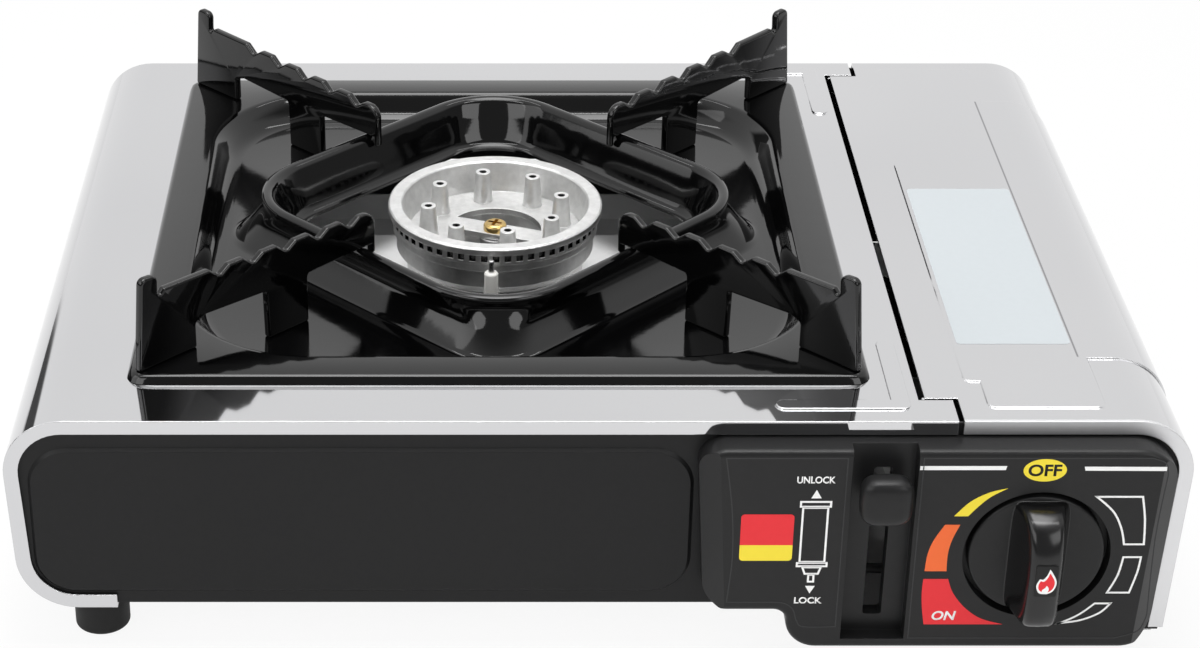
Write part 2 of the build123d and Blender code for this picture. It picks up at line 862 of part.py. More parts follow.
# Igniter: a block behind the front panel, with a plunger that the cam pushes to the left
plunger_x = knob_x - cam_radius - plunger_gap
plunger_y = y_cam + cam_width / 2
bore_end = plunger_x - plunger_length - cam_lift - hub_gap
igniter_plane = Plane.YZ.offset(igniter_left + igniter_length)
with BuildPart() as igniter_body:
    with Locations((igniter_left, y_panel_back, knob_z)):
        Box(igniter_length, igniter_depth, igniter_height, align=(Align.MIN, Align.MIN, Align.CENTER))
    fillet(igniter_body.edges().filter_by(Axis.X).group_by(Axis.Y)[-1], radius=hub_gap)
    with BuildSketch(igniter_plane):
        with Locations((plunger_y, knob_z)):
            Circle(plunger_radius + running_fit)
    extrude(amount=bore_end - igniter_left - igniter_length, mode=Mode.SUBTRACT)
igniter_body.part.label = "igniter_body"
export_step(igniter_body.part, "parts/igniter_body.step")

with BuildPart() as igniter_plunger:
    with BuildSketch(Plane.YZ.offset(plunger_x)):
        with Locations((plunger_y, knob_z)):
            Circle(plunger_radius)
    extrude(amount=-plunger_length)
    fillet(igniter_plunger.edges().sort_by(Axis.X)[-1], radius=plunger_round)
igniter_plunger.part.label = "igniter_plunger"
export_step(igniter_plunger.part, "parts/igniter_plunger.step")

# Lever: a steel arm on a pin, a moulded knob at the front and a crank that draws the yoke
arm_middle = ((lever_y + pivot_y) / 2, (lever_knob_z + pivot_z) / 2)
arm_length = hypot(pivot_y - lever_y, lever_knob_z - pivot_z)
arm_angle = degrees(atan2(pivot_z - lever_knob_z, pivot_y - lever_y))
crank_middle = ((pivot_y + crank_y) / 2, (pivot_z + crank_z) / 2)
crank_angle = degrees(atan2(crank_z - pivot_z, crank_y - pivot_y))
link_left = arm_right + yoke_link_gap
link_right = link_left + yoke_sheet
with BuildPart() as lever_arm:
    with BuildSketch(Plane.YZ.offset(arm_left)):
        with Locations(arm_middle):
            SlotCenterToCenter(arm_length, lever_width, rotation=arm_angle)
        with Locations(crank_middle):
            SlotCenterToCenter(crank_length, lever_width, rotation=crank_angle)
        with Locations((pivot_y, pivot_z)):
            Circle(lever_pin_radius + running_fit, mode=Mode.SUBTRACT)
    extrude(amount=lever_thickness)
    with BuildSketch(Plane.YZ.offset(arm_right)):
        with Locations((crank_y, crank_z)):
            Circle(crank_pin_radius)
    extrude(amount=link_right - arm_right + crank_pin_radius)
lever_arm.part.label = "lever_arm"
export_step(lever_arm.part, "parts/lever_arm.step")

with BuildPart() as lever_knob:
    with Locations((lever_x, lever_y, lever_knob_z)):
        Box(lever_knob_width, lever_knob_depth, lever_knob_height)
    fillet(lever_knob.edges().filter_by(Axis.Y), radius=lever_knob_round)
    fillet(lever_knob.edges().group_by(Axis.Y)[0], radius=lever_knob_round / 2)
    with BuildSketch(Plane.YZ.offset(arm_left - running_fit)):
        with Locations(arm_middle):
            SlotCenterToCenter(arm_length, lever_width + 2 * running_fit, rotation=arm_angle)
    extrude(amount=lever_thickness + 2 * running_fit, mode=Mode.SUBTRACT)
lever_knob.part.label = "lever_knob"
export_step(lever_knob.part, "parts/lever_knob.step")

with BuildPart() as lever_bracket:
    with BuildSketch(Plane.YZ.offset(cheek_left)):
        with Locations((pivot_y, bay_top)):
            Rectangle(2 * lever_cheek_half, pivot_z - bay_top, align=(Align.CENTER, Align.MIN))
        with Locations((pivot_y, pivot_z)):
            Circle(lever_cheek_half)
            Circle(lever_pin_radius + pin_fit, mode=Mode.SUBTRACT)
    extrude(amount=lever_cheek)
    with Locations((cheek_right, pivot_y, bay_top)):
        Box(lever_foot, 2 * lever_cheek_half, lever_cheek, align=(Align.MAX, Align.CENTER, Align.MIN))
lever_bracket.part.label = "lever_bracket"
export_step(lever_bracket.part, "parts/lever_bracket.step")

pin_left = cheek_left - lever_pin_head
pin_stop = arm_right + fit_gap
with BuildPart() as lever_pivot_pin:
    for start_x, end_x, radius in (
        (pin_left, cheek_left, lever_pin_head_radius),
        (cheek_left, pin_stop, lever_pin_radius),
        (pin_stop, pin_stop + lever_pin_head, lever_pin_head_radius),
    ):
        with BuildSketch(Plane.YZ.offset(start_x)):
            with Locations((pivot_y, pivot_z)):
                Circle(radius)
        extrude(amount=end_x - start_x)
lever_pivot_pin.part.label = "lever_pivot_pin"
export_step(lever_pivot_pin.part, "parts/lever_pivot_pin.step")

# Cartridge yoke: slides forward on two pins and pulls the cartridge's collar against the inlet
guide_xs = (cartridge_x - guide_pin_circle, cartridge_x + guide_pin_circle)
with BuildPart() as cartridge_yoke:
    with BuildSketch(front_plane(y_yoke + yoke_sheet)):
        with Locations((cartridge_x, cartridge_z)):
            Circle(yoke_outer)
            Rectangle(4 * yoke_outer, 2 * yoke_outer, align=(Align.CENTER, Align.MIN), mode=Mode.SUBTRACT)
            Rectangle(2 * yoke_outer, yoke_arm_rise, align=(Align.CENTER, Align.MIN))
            Circle(yoke_inner, mode=Mode.SUBTRACT)
            Rectangle(2 * yoke_inner, yoke_outer, align=(Align.CENTER, Align.MIN), mode=Mode.SUBTRACT)
        with Locations((link_left, crank_z)):
            Rectangle(
                cartridge_x - yoke_inner - link_left,
                yoke_link_height,
                align=(Align.MIN, Align.CENTER),
            )
        for guide_x in guide_xs:
            with Locations((guide_x, cartridge_z)):
                Circle(guide_pin_radius + running_fit, mode=Mode.SUBTRACT)
    extrude(amount=yoke_sheet)
    link_end = crank_y + 2 * crank_pin_radius + crank_pin_gap
    with BuildSketch(Plane.YZ.offset(link_left)):
        with Locations((y_yoke, crank_z)):
            Rectangle(link_end - y_yoke, yoke_link_height, align=(Align.MIN, Align.CENTER))
        with Locations((crank_y, crank_z)):
            SlotOverall(
                yoke_link_height - 2 * crank_pin_radius,
                2 * (crank_pin_radius + crank_pin_gap),
                rotation=90,
                mode=Mode.SUBTRACT,
            )
    extrude(amount=yoke_sheet)
cartridge_yoke.part.label = "cartridge_yoke"
export_step(cartridge_yoke.part, "parts/cartridge_yoke.step")

with BuildPart() as yoke_guide_pins:
    pin_end = y_yoke + yoke_sheet + guide_pin_overrun
    for guide_x in guide_xs:
        with BuildSketch(front_plane(pin_end)):
            with Locations((guide_x, cartridge_z)):
                Circle(guide_pin_radius)
        extrude(amount=pin_end - y_bracket)
        with BuildSketch(front_plane(pin_end)):
            with Locations((guide_x, cartridge_z)):
                Circle(guide_pin_head)
        extrude(amount=lever_pin_head)
yoke_guide_pins.part.label = "yoke_guide_pins"
export_step(yoke_guide_pins.part, "parts/yoke_guide_pins.step")

# Cartridge bay: partition towards the burner and a cradle under the cartridge
with BuildPart() as partition_plate:
    partition_top = top_height - sheet - fit_gap
    partition_length = y_rear_inside - y_front - partition_start
    with Locations((partition_x, y_rear_inside, bay_top)):
        Box(sheet, partition_length, partition_top - bay_top, align=(Align.MIN, Align.MAX, Align.MIN))
        Box(partition_foot, partition_length, sheet, align=(Align.MAX, Align.MAX, Align.MIN))
partition_plate.part.label = "partition_plate"
export_step(partition_plate.part, "parts/partition_plate.step")

cradle_half = cradle_radius * sin(radians(cradle_half_angle))
cradle_high = cartridge_z - cradle_radius * cos(radians(cradle_half_angle))
with BuildPart() as cartridge_cradle:
    with BuildSketch(front_plane(y_back - cradle_rear)):
        with Locations((cartridge_x, cartridge_z)):
            Circle(cradle_radius + sheet)
            Circle(cradle_radius, mode=Mode.SUBTRACT)
        with Locations((cartridge_x, bay_top)):
            cradle_window = (Align.CENTER, Align.MIN)
            Rectangle(2 * cradle_half, cradle_high - bay_top, align=cradle_window, mode=Mode.INTERSECT)
        for leg_x in (cartridge_x - cradle_half, cartridge_x + cradle_half - sheet):
            with Locations((leg_x, bay_top)):
                Rectangle(sheet, cradle_high - bay_top, align=(Align.MIN, Align.MIN))
    extrude(amount=body_depth - cradle_rear - cradle_front)
cartridge_cradle.part.label = "cartridge_cradle"
export_step(cartridge_cradle.part, "parts/cartridge_cradle.step")

# Regulator: casting with the inlet, the outlet boss and a diaphragm chamber to the right
chamber_end = knob_x + chamber_reach
regulator_mid = y_regulator + regulator_length / 2
with BuildPart() as regulator_body:
    with BuildSketch(front_plane(y_bracket)):
        with Locations((knob_x, knob_z)):
            Circle(regulator_radius)
    extrude(amount=regulator_length)
    with BuildSketch(front_plane(y_inlet)):
        with Locations((cartridge_x, cartridge_z)):
            Circle(inlet_radius)
    extrude(amount=y_inlet - y_bracket)
    with BuildSketch(Plane.YZ.offset(chamber_end)):
        with Locations((regulator_mid, knob_z)):
            Circle(chamber_radius)
    extrude(amount=-chamber_reach)
    with BuildSketch(gas_plane(0)):
        Circle(outlet_radius)
    extrude(amount=outlet_length)
    with BuildSketch(front_plane(y_inlet)):
        with Locations((cartridge_x, cartridge_z)):
            Circle(inlet_bore)
    extrude(amount=inlet_bore_depth, mode=Mode.SUBTRACT)
    with BuildSketch(Plane.YZ.offset(chamber_end)):
        with Locations((regulator_mid, knob_z)):
            Circle(chamber_bore)
    extrude(amount=-chamber_bore_depth, mode=Mode.SUBTRACT)
    with BuildSketch(front_plane(spindle_end + running_fit)):
        with Locations((knob_x, knob_z)):
            Circle(spindle_radius + running_fit)
    extrude(amount=spindle_depth + outlet_radius, mode=Mode.SUBTRACT)
    with BuildSketch(front_plane(y_bracket)):
        with Locations((knob_x, knob_z)):
            with PolarLocations(regulator_screw_circle, regulator_screw_count, regulator_screw_angle):
                Circle(bracket_screw_radius + pin_fit)
    extrude(amount=regulator_screw_depth, mode=Mode.SUBTRACT)
regulator_body.part.label = "regulator_body"
export_step(regulator_body.part, "parts/regulator_body.step")

with BuildPart() as regulator_diaphragm:
    with BuildSketch(Plane.YZ.offset(chamber_end)):
        with Locations((regulator_mid, knob_z)):
            Circle(chamber_radius)
    extrude(amount=diaphragm_sheet)
regulator_diaphragm.part.label = "regulator_diaphragm"
export_step(regulator_diaphragm.part, "parts/regulator_diaphragm.step")

cover_x = chamber_end + diaphragm_sheet
with BuildPart() as regulator_cover:
    with BuildSketch(Plane.YZ.offset(cover_x)):
        with Locations((regulator_mid, knob_z)):
            Circle(chamber_radius)
    extrude(amount=cover_height)
    fillet(regulator_cover.edges().group_by(Axis.X)[-1], radius=cover_wall)
    with BuildSketch(Plane.YZ.offset(cover_x)):
        with Locations((regulator_mid, knob_z)):
            Circle(chamber_radius - cover_wall)
    extrude(amount=cover_height - cover_wall, mode=Mode.SUBTRACT)
regulator_cover.part.label = "regulator_cover"
export_step(regulator_cover.part, "parts/regulator_cover.step")

with BuildPart() as regulator_spring:
    with BuildSketch(Plane.YZ.offset(cover_x)):
        with Locations((regulator_mid, knob_z)):
            Circle(spring_radius)
            Circle(spring_radius - spring_wire, mode=Mode.SUBTRACT)
    extrude(amount=cover_height - cover_wall)
regulator_spring.part.label = "regulator_spring"
export_step(regulator_spring.part, "parts/regulator_spring.step")

with BuildPart() as inlet_seal:
    with BuildSketch(front_plane(y_inlet + seal_height)):
        with Locations((cartridge_x, cartridge_z)):
            Circle(seal_outer)
            Circle(seal_inner, mode=Mode.SUBTRACT)
    extrude(amount=seal_height)
inlet_seal.part.label = "inlet_seal"
export_step(inlet_seal.part, "parts/inlet_seal.step")

with BuildPart() as regulator_bracket:
    with BuildSketch(front_plane(y_bracket + bracket_sheet)):
        with Locations((bracket_left, bay_top)):
            Rectangle(bracket_right - bracket_left, bracket_top - bay_top, align=(Align.MIN, Align.MIN))
        with Locations((cartridge_x, cartridge_z)):
            Circle(inlet_radius + running_fit, mode=Mode.SUBTRACT)
        for guide_x in guide_xs:
            with Locations((guide_x, cartridge_z)):
                Circle(guide_pin_radius + pin_fit, mode=Mode.SUBTRACT)
        with Locations((knob_x, knob_z)):
            with PolarLocations(regulator_screw_circle, regulator_screw_count, regulator_screw_angle):
                Circle(bracket_screw_radius + pin_fit, mode=Mode.SUBTRACT)
    extrude(amount=bracket_sheet)
    with Locations((bracket_left, y_bracket + bracket_sheet, bay_top)):
        foot_align = (Align.MIN, Align.MAX, Align.MIN)
        Box(bracket_right - bracket_left, bracket_foot, bracket_sheet, align=foot_align)
regulator_bracket.part.label = "regulator_bracket"
export_step(regulator_bracket.part, "parts/regulator_bracket.step")

with BuildPart() as regulator_screws:
    screw_end = y_bracket + bracket_sheet
    for head, depth_end, depth in (
        (bracket_screw_radius, screw_end, bracket_sheet + regulator_screw_depth - hub_gap),
        (bracket_screw_head, screw_end + bracket_screw_radius, bracket_screw_radius),
    ):
        with BuildSketch(front_plane(depth_end)):
            with Locations((knob_x, knob_z)):
                with PolarLocations(regulator_screw_circle, regulator_screw_count, regulator_screw_angle):
                    Circle(head)
        extrude(amount=depth)
regulator_screws.part.label = "regulator_screws"
export_step(regulator_screws.part, "parts/regulator_screws.step")

with BuildPart() as collar_key:
    with Locations((cartridge_x, y_bracket + bracket_sheet, bracket_top)):
        Box(key_width, key_length, bracket_sheet, align=(Align.CENTER, Align.MIN, Align.MAX))
    fillet(collar_key.edges().filter_by(Axis.Z).group_by(Axis.Y)[-1], radius=bracket_sheet)
collar_key.part.label = "collar_key"
export_step(collar_key.part, "parts/collar_key.step")

# Gas nozzle and mixing tube on the gas line
nozzle_end = outlet_length + nozzle_length
with BuildPart() as gas_nozzle:
    with BuildSketch(gas_plane(outlet_length)):
        RegularPolygon(nozzle_hex, nozzle_sides)
    extrude(amount=nozzle_length)
    with BuildSketch(gas_plane(nozzle_end)):
        Circle(nozzle_tip)
    extrude(amount=nozzle_tip_length)
    with BuildSketch(gas_plane(outlet_length)):
        Circle(nozzle_bore)
    extrude(amount=nozzle_length + nozzle_tip_length, mode=Mode.SUBTRACT)
gas_nozzle.part.label = "gas_nozzle"
export_step(gas_nozzle.part, "parts/gas_nozzle.step")

mouth_start = nozzle_end + mouth_gap
mouth_end = mouth_start + mouth_length
tube_end = gas_run - socket_reach + socket_depth - running_fit
tube_wall = tube_radius - tube_bore
with BuildPart() as mixing_tube:
    for wall, mode in ((0, Mode.ADD), (tube_wall, Mode.SUBTRACT)):
        with BuildSketch(gas_plane(mouth_start)):
            Circle(mouth_radius - wall)
        with BuildSketch(gas_plane(mouth_end)):
            Circle(tube_radius - wall)
        loft(mode=mode)
        with BuildSketch(gas_plane(mouth_end)):
            Circle(tube_radius - wall)
        extrude(amount=tube_end - mouth_end, mode=mode)
mixing_tube.part.label = "mixing_tube"
export_step(mixing_tube.part, "parts/mixing_tube.step")

# Burner body: casting with a bowl, a neck, the socket for the mixing tube and two lugs
burner_axis = Axis((pan_x, y_mid, 0), (0, 0, 1))
cap_spigot = burner_inner + burner_wall
flange_top = port_low_z - port_ring
flange_low = flange_top - body_flange_height
seat_z = cap_low_z - fit_gap
bowl_radius = body_radius - body_wall
with BuildPart() as burner_body:
    profile = [
        (0, neck_low_z),
        (neck_radius, neck_low_z),
        (neck_radius, neck_top_z),
        (body_radius, body_low_z),
        (body_radius, body_waist_z),
        (body_collar, body_waist_z + body_collar - body_radius),
        (body_collar, flange_low),
        (body_flange, flange_low),
        (body_flange, flange_top),
        (cap_spigot + cap_fit, flange_top),
        (cap_spigot + cap_fit, seat_z),
        (bowl_radius, seat_z),
        (bowl_radius, bowl_z),
        (screw_post, bowl_z),
        (screw_post, seat_z),
        (0, seat_z),
    ]
    with BuildSketch(front_plane(y_mid)):
        with BuildLine():
            Polyline(*[(pan_x + radius, z) for radius, z in profile], close=True)
        make_face()
    revolve(axis=burner_axis)
    with BuildSketch(gas_plane(gas_run - socket_reach)):
        Circle(socket_radius)
    extrude(amount=socket_reach)
    with BuildSketch(gas_plane(gas_run - socket_reach)):
        Circle(tube_radius + running_fit)
    extrude(amount=socket_depth, mode=Mode.SUBTRACT)
    with BuildSketch(gas_plane(gas_run - socket_reach)):
        Circle(tube_bore)
    extrude(amount=socket_reach, mode=Mode.SUBTRACT)
    upright = (Align.CENTER, Align.CENTER, Align.MIN)
    with Locations((pan_x, y_mid, inlet_z - neck_bore)):
        Cylinder(neck_bore, neck_top_z + neck_bore - inlet_z, align=upright, mode=Mode.SUBTRACT)
    with Locations((pan_x, y_mid, neck_top_z)):
        Cone(neck_bore, plenum_radius, plenum_height, align=upright, mode=Mode.SUBTRACT)
    with Locations((pan_x, y_mid, bowl_z)):
        with PolarLocations(gas_hole_circle, gas_hole_count):
            hole_depth = bowl_z - neck_top_z - plenum_height / 2
            Cylinder(gas_hole, hole_depth, align=(Align.CENTER, Align.CENTER, Align.MAX), mode=Mode.SUBTRACT)
    with Locations((pan_x, y_mid, strip_z)):
        Box(2 * lug_reach, lug_width, lug_height, align=(Align.CENTER, Align.CENTER, Align.MAX))
    with BuildSketch(Plane.XY.offset(strip_z)):
        for side in (-1, 1):
            with Locations((pan_x + side * bracket_screw_at, y_mid)):
                Circle(bracket_screw_radius + pin_fit)
    extrude(amount=-lug_height, mode=Mode.SUBTRACT)
    with BuildSketch(Plane.XY.offset(seat_z)):
        with Locations((pan_x, y_mid)):
            Circle(screw_radius + pin_fit)
    extrude(amount=-screw_depth, mode=Mode.SUBTRACT)
burner_body.part.label = "burner_body"
export_step(burner_body.part, "parts/burner_body.step")

# Burner cap: cup with a machined rim, flame ports under it, hollow pegs and a bridge for the screw
cup_z = burner_z - cup_depth
with BuildPart() as burner_cap:
    profile = [
        (0, cap_low_z),
        (cap_spigot, cap_low_z),
        (cap_spigot, flange_top),
        (burner_radius - port_step, flange_top),
        (burner_radius - port_step, burner_z - burner_rim),
        (burner_radius, burner_z - burner_rim),
        (burner_radius, burner_z - rim_edge),
        (burner_radius - rim_edge, burner_z),
        (burner_inner + rim_edge, burner_z),
        (burner_inner, burner_z - rim_edge),
        (burner_inner - cup_taper, cup_z),
        (0, cup_z),
    ]
    with BuildSketch(front_plane(y_mid)):
        with BuildLine():
            Polyline(*[(pan_x + radius, z) for radius, z in profile], close=True)
        make_face()
    revolve(axis=burner_axis)
    port_length = 2 * (port_step + port_depth)
    with Locations((pan_x, y_mid, port_low_z)):
        with PolarLocations(burner_radius, port_count):
            Box(
                port_length,
                port_width,
                port_height,
                align=(Align.CENTER, Align.CENTER, Align.MIN),
                mode=Mode.SUBTRACT,
            )
    with BuildSketch(Plane.XY.offset(cap_low_z)):
        with Locations((pan_x, y_mid)):
            Circle(vent_radius)
            Rectangle(4 * vent_radius, bridge_width, rotation=bridge_turn, mode=Mode.SUBTRACT)
    extrude(amount=cup_floor, mode=Mode.SUBTRACT)
    with Locations((pan_x, y_mid, cup_z)):
        with PolarLocations(peg_circle, peg_count, peg_turn):
            Cone(peg_foot, peg_top, cup_depth + peg_over, align=(Align.CENTER, Align.CENTER, Align.MIN))
    with Locations((pan_x, y_mid, burner_z + peg_over)):
        with PolarLocations(peg_circle, peg_count, peg_turn):
            peg_align = (Align.CENTER, Align.CENTER, Align.MAX)
            Cylinder(peg_bore, peg_bore_depth, align=peg_align, mode=Mode.SUBTRACT)
    with BuildSketch(Plane.XY.offset(cap_low_z)):
        with Locations((pan_x, y_mid)):
            Circle(screw_radius + running_fit)
    extrude(amount=cup_floor, mode=Mode.SUBTRACT)
burner_cap.part.label = "burner_cap"
export_step(burner_cap.part, "parts/burner_cap.step")

with BuildPart() as burner_screw:
    with BuildSketch(Plane.XY.offset(cup_z)):
        with Locations((pan_x, y_mid)):
            Circle(screw_head)
    extrude(amount=screw_head_height)
    fillet(burner_screw.edges().group_by(Axis.Z)[-1], radius=screw_head_height / 2)
    with BuildSketch(Plane.XY.offset(cup_z)):
        with Locations((pan_x, y_mid)):
            Circle(screw_radius)
    extrude(amount=seat_z + hub_gap - screw_depth - cup_z)
    with BuildSketch(Plane.XY.offset(cup_z + screw_head_height)):
        with Locations((pan_x, y_mid)):
            Rectangle(cross_length, cross_width, rotation=bridge_turn)
            Rectangle(cross_width, cross_length, rotation=bridge_turn)
    extrude(amount=-screw_head_height / 2, mode=Mode.SUBTRACT)
burner_screw.part.label = "burner_screw"
export_step(burner_screw.part, "parts/burner_screw.step")

# Burner bracket: bright strip on two legs, with a round hole for the burner body
strip_left = pan_x - strip_half_length
strip_right = pan_x + strip_half_length
with BuildPart() as burner_bracket:
    with BuildSketch(front_plane(y_mid + strip_rear)):
        with BuildLine():
            Polyline(
                (strip_left - strip_foot, base_top),
                (strip_left - strip_foot, base_top + strip_sheet),
                (strip_left, base_top + strip_sheet),
                (strip_left, strip_top),
                (strip_right, strip_top),
                (strip_right, base_top + strip_sheet),
                (strip_right + strip_foot, base_top + strip_sheet),
                (strip_right + strip_foot, base_top),
                (strip_right - strip_sheet, base_top),
                (strip_right - strip_sheet, strip_z),
                (strip_left + strip_sheet, strip_z),
                (strip_left + strip_sheet, base_top),
                close=True,
            )
        make_face()
    extrude(amount=strip_rear + strip_half_width)
    with BuildSketch(Plane.XY.offset(strip_top)):
        with Locations((pan_x, y_mid)):
            Circle(strip_hole)
        for side in (-1, 1):
            with Locations((pan_x + side * bracket_screw_at, y_mid)):
                Circle(bracket_screw_radius + pin_fit)
    extrude(amount=-strip_sheet, mode=Mode.SUBTRACT)
burner_bracket.part.label = "burner_bracket"
export_step(burner_bracket.part, "parts/burner_bracket.step")

with BuildPart() as burner_bracket_screws:
    lug_low = strip_z - lug_height
    for side in (-1, 1):
        with Locations((pan_x + side * bracket_screw_at, y_mid, lug_low)):
            shank = (Align.CENTER, Align.CENTER, Align.MIN)
            Cylinder(bracket_screw_radius, lug_height + strip_sheet, align=shank)
            head = (Align.CENTER, Align.CENTER, Align.MAX)
            Cylinder(bracket_screw_head, bracket_screw_radius, align=head)
burner_bracket_screws.part.label = "burner_bracket_screws"
export_step(burner_bracket_screws.part, "parts/burner_bracket_screws.step")

# Ignition electrode: ceramic post with a wire tip, held by a clip on the strip
with BuildPart() as electrode_clip:
    clip_rear = y_mid - strip_half_width + clip_overlap
    with BuildSketch(Plane.XY.offset(strip_top)):
        with Locations((electrode_x, y_electrode)):
            clip_width = 2 * (electrode_radius + clip_wall)
            Rectangle(clip_width, clip_rear - y_electrode, align=(Align.CENTER, Align.MIN))
            Circle(electrode_radius + clip_wall)
            Circle(electrode_radius + running_fit, mode=Mode.SUBTRACT)
    extrude(amount=clip_sheet)
electrode_clip.part.label = "electrode_clip"
export_step(electrode_clip.part, "parts/electrode_clip.step")

with BuildPart() as electrode_ceramic:
    with BuildSketch(Plane.XY.offset(electrode_low_z)):
        with Locations((electrode_x, y_electrode)):
            Circle(electrode_radius)
    extrude(amount=electrode_top - electrode_low_z)
    with BuildSketch(Plane.XY.offset(strip_top + clip_sheet)):
        with Locations((electrode_x, y_electrode)):
            Circle(electrode_collar)
    extrude(amount=electrode_collar_height)
    fillet(electrode_ceramic.edges().group_by(Axis.Z)[-1], radius=electrode_tip_radius)
    with BuildSketch(Plane.XY.offset(electrode_top)):
        with Locations((electrode_x, y_electrode)):
            Circle(electrode_tip_radius + pin_fit)
    extrude(amount=-electrode_tip_rise, mode=Mode.SUBTRACT)
electrode_ceramic.part.label = "electrode_ceramic"
export_step(electrode_ceramic.part, "parts/electrode_ceramic.step")

with BuildPart() as electrode_tip:
    with BuildSketch(Plane.XY.offset(electrode_top - electrode_tip_rise)):
        with Locations((electrode_x, y_electrode)):
            Circle(electrode_tip_radius)
    extrude(amount=2 * electrode_tip_rise)
    fillet(electrode_tip.edges().group_by(Axis.Z)[-1], radius=electrode_tip_radius / 2)
electrode_tip.part.label = "electrode_tip"
export_step(electrode_tip.part, "parts/electrode_tip.step")

# Ignition lead: from the igniter's underside, low behind the front panel, and up to the electrode
lead_start_z = knob_z - igniter_height / 2
lead_x = igniter_left + lead_start
lead_y = y_front + lead_set_in
lead_run = electrode_x - lead_x
lead_reach = y_electrode - lead_y
lead_points = [
    Vector(lead_x, lead_y, lead_start_z),
    Vector(lead_x, lead_y, lead_level),
    *[Vector(lead_x + lead_run * x, lead_y + lead_reach * y, lead_level) for x, y in lead_route],
    Vector(electrode_x, y_electrode, lead_level + lead_rise),
    Vector(electrode_x, y_electrode, electrode_low_z),
]


def cord_radii(points):
    # Each bend is as large as the shorter of its two runs leaves room for
    radii = []
    for before, corner, after in zip(points, points[1:], points[2:]):
        arriving = corner - before
        leaving = after - corner
        turn = radians(arriving.get_angle(leaving))
        radii.append(lead_bend_share * min(arriving.length, leaving.length) / tan(turn / 2))
    return radii


with BuildPart() as ignition_lead:
    with BuildLine() as lead_path:
        FilletPolyline(*lead_points, radius=cord_radii(lead_points))
    with BuildSketch(Plane(origin=lead_path.line @ 0, z_dir=lead_path.line % 0)):
        Circle(lead_diameter / 2)
    sweep()
ignition_lead.part.label = "ignition_lead"
export_step(ignition_lead.part, "parts/ignition_lead.step")

# Lid over the cartridge: folded rims, hinge ears and a raised field that wraps over the side
y_ear_front = y_front + tab_depth + tab_gap + fit_gap
y_ear_back = y_back - tab_depth - tab_gap - fit_gap
with BuildPart() as cartridge_lid:
    extrude(lid_band(y_back, lid_edge_x, lid_bottom, 0, sheet), amount=body_depth)
    for rim_y in (y_front + sheet, y_back):
        extrude(lid_band(rim_y, lid_edge_x, lid_bottom, 0, rim_width), amount=sheet)
    fillet(rim_edges(cartridge_lid), radius=rim_round)
    for notch_y in (y_front, y_back):
        with Locations(((lid_edge_x + lid_notch_x) / 2, notch_y, top_height)):
            Box(
                lid_notch_x - lid_edge_x,
                2 * (tab_depth + tab_gap),
                4 * rim_width,
                mode=Mode.SUBTRACT,
            )
    wrap_length = body_depth - 2 * wrap_set_in
    wrap_x = field_right_x - bead_width
    extrude(lid_band(y_back - wrap_set_in, wrap_x, wrap_low, -lid_raise, sheet / 2), amount=wrap_length)
    with BuildSketch(Plane.XY.offset(top_height)):
        for left_x, set_in in ((field_x, field_set_in + field_step), (field_end_x, field_set_in)):
            with Locations(((left_x + field_right_x) / 2, y_mid)):
                RectangleRounded(field_right_x - left_x, body_depth - 2 * set_in, bead_width / 2)
    extrude(amount=lid_raise, taper=45)
    for ear_y in (y_ear_front + sheet, y_ear_back):
        with BuildSketch(front_plane(ear_y)):
            with Locations((hinge_x, hinge_z)):
                Circle(ear_radius)
            with Locations((lid_edge_x, hinge_z)):
                ear_width = hinge_x + ear_radius - lid_edge_x
                Rectangle(ear_width, ear_radius, align=(Align.MIN, Align.MIN))
            with Locations((hinge_x, top_height - sheet / 2)):
                above = (Align.CENTER, Align.MIN)
                Rectangle(4 * ear_radius, 2 * ear_radius, align=above, mode=Mode.SUBTRACT)
            with Locations((hinge_x, hinge_z)):
                Circle(hinge_pin_radius + hinge_clearance, mode=Mode.SUBTRACT)
        extrude(amount=sheet)
cartridge_lid.part.label = "cartridge_lid"
export_step(cartridge_lid.part, "parts/cartridge_lid.step")

with BuildPart() as lid_hinge_pins:
    pin_length = y_ear_front + 2 * sheet - (y_front + tab_depth - lug_set_in - 2 * sheet)
    for pin_y in (y_ear_front + 2 * sheet, y_ear_back - 2 * sheet + pin_length):
        with BuildSketch(front_plane(pin_y)):
            with Locations((hinge_x, hinge_z)):
                Circle(hinge_pin_radius)
        extrude(amount=pin_length)
lid_hinge_pins.part.label = "lid_hinge_pins"
export_step(lid_hinge_pins.part, "parts/lid_hinge_pins.step")

# Drip pan: pressed sheet with a skirt, a flat land, a rounded dish and a raised ring around the burner
skirt_wall = pan_sheet * hypot(skirt_run, land_rise) / land_rise
dish_wall = pan_sheet * hypot(dish_wall_run, dish_depth) / dish_depth
dish_half = pan_half - land_width
floor_half = dish_half - dish_wall_run
floor_radius = dish_radius - dish_wall_run
ring_half = pan_half * ring_share
throat_half = ring_half - ring_lip
throat_radius = ring_radius - ring_lip
throat_low = throat_half - throat_run
ring_base = ring_half + ring_wall_run
pan_low = dish_z - pan_sheet

with BuildPart() as dish_outside:
    dish_fall = dish_wall_run * pan_sheet / dish_depth
    loft(
        [
            rounded_square(pan_low, floor_half - dish_fall + dish_wall, floor_radius + dish_wall),
            rounded_square(land_z, dish_half + dish_wall, dish_radius + dish_wall),
        ],
        ruled=True,
    )
    fillet(dish_outside.edges().group_by(Axis.Z)[0], radius=dish_round + pan_sheet)

with BuildPart() as dish_inside:
    loft(
        [
            rounded_square(dish_z, floor_half, floor_radius),
            rounded_square(land_z, dish_half, dish_radius),
        ],
        ruled=True,
    )
    fillet(dish_inside.edges().group_by(Axis.Z)[0], radius=dish_round)

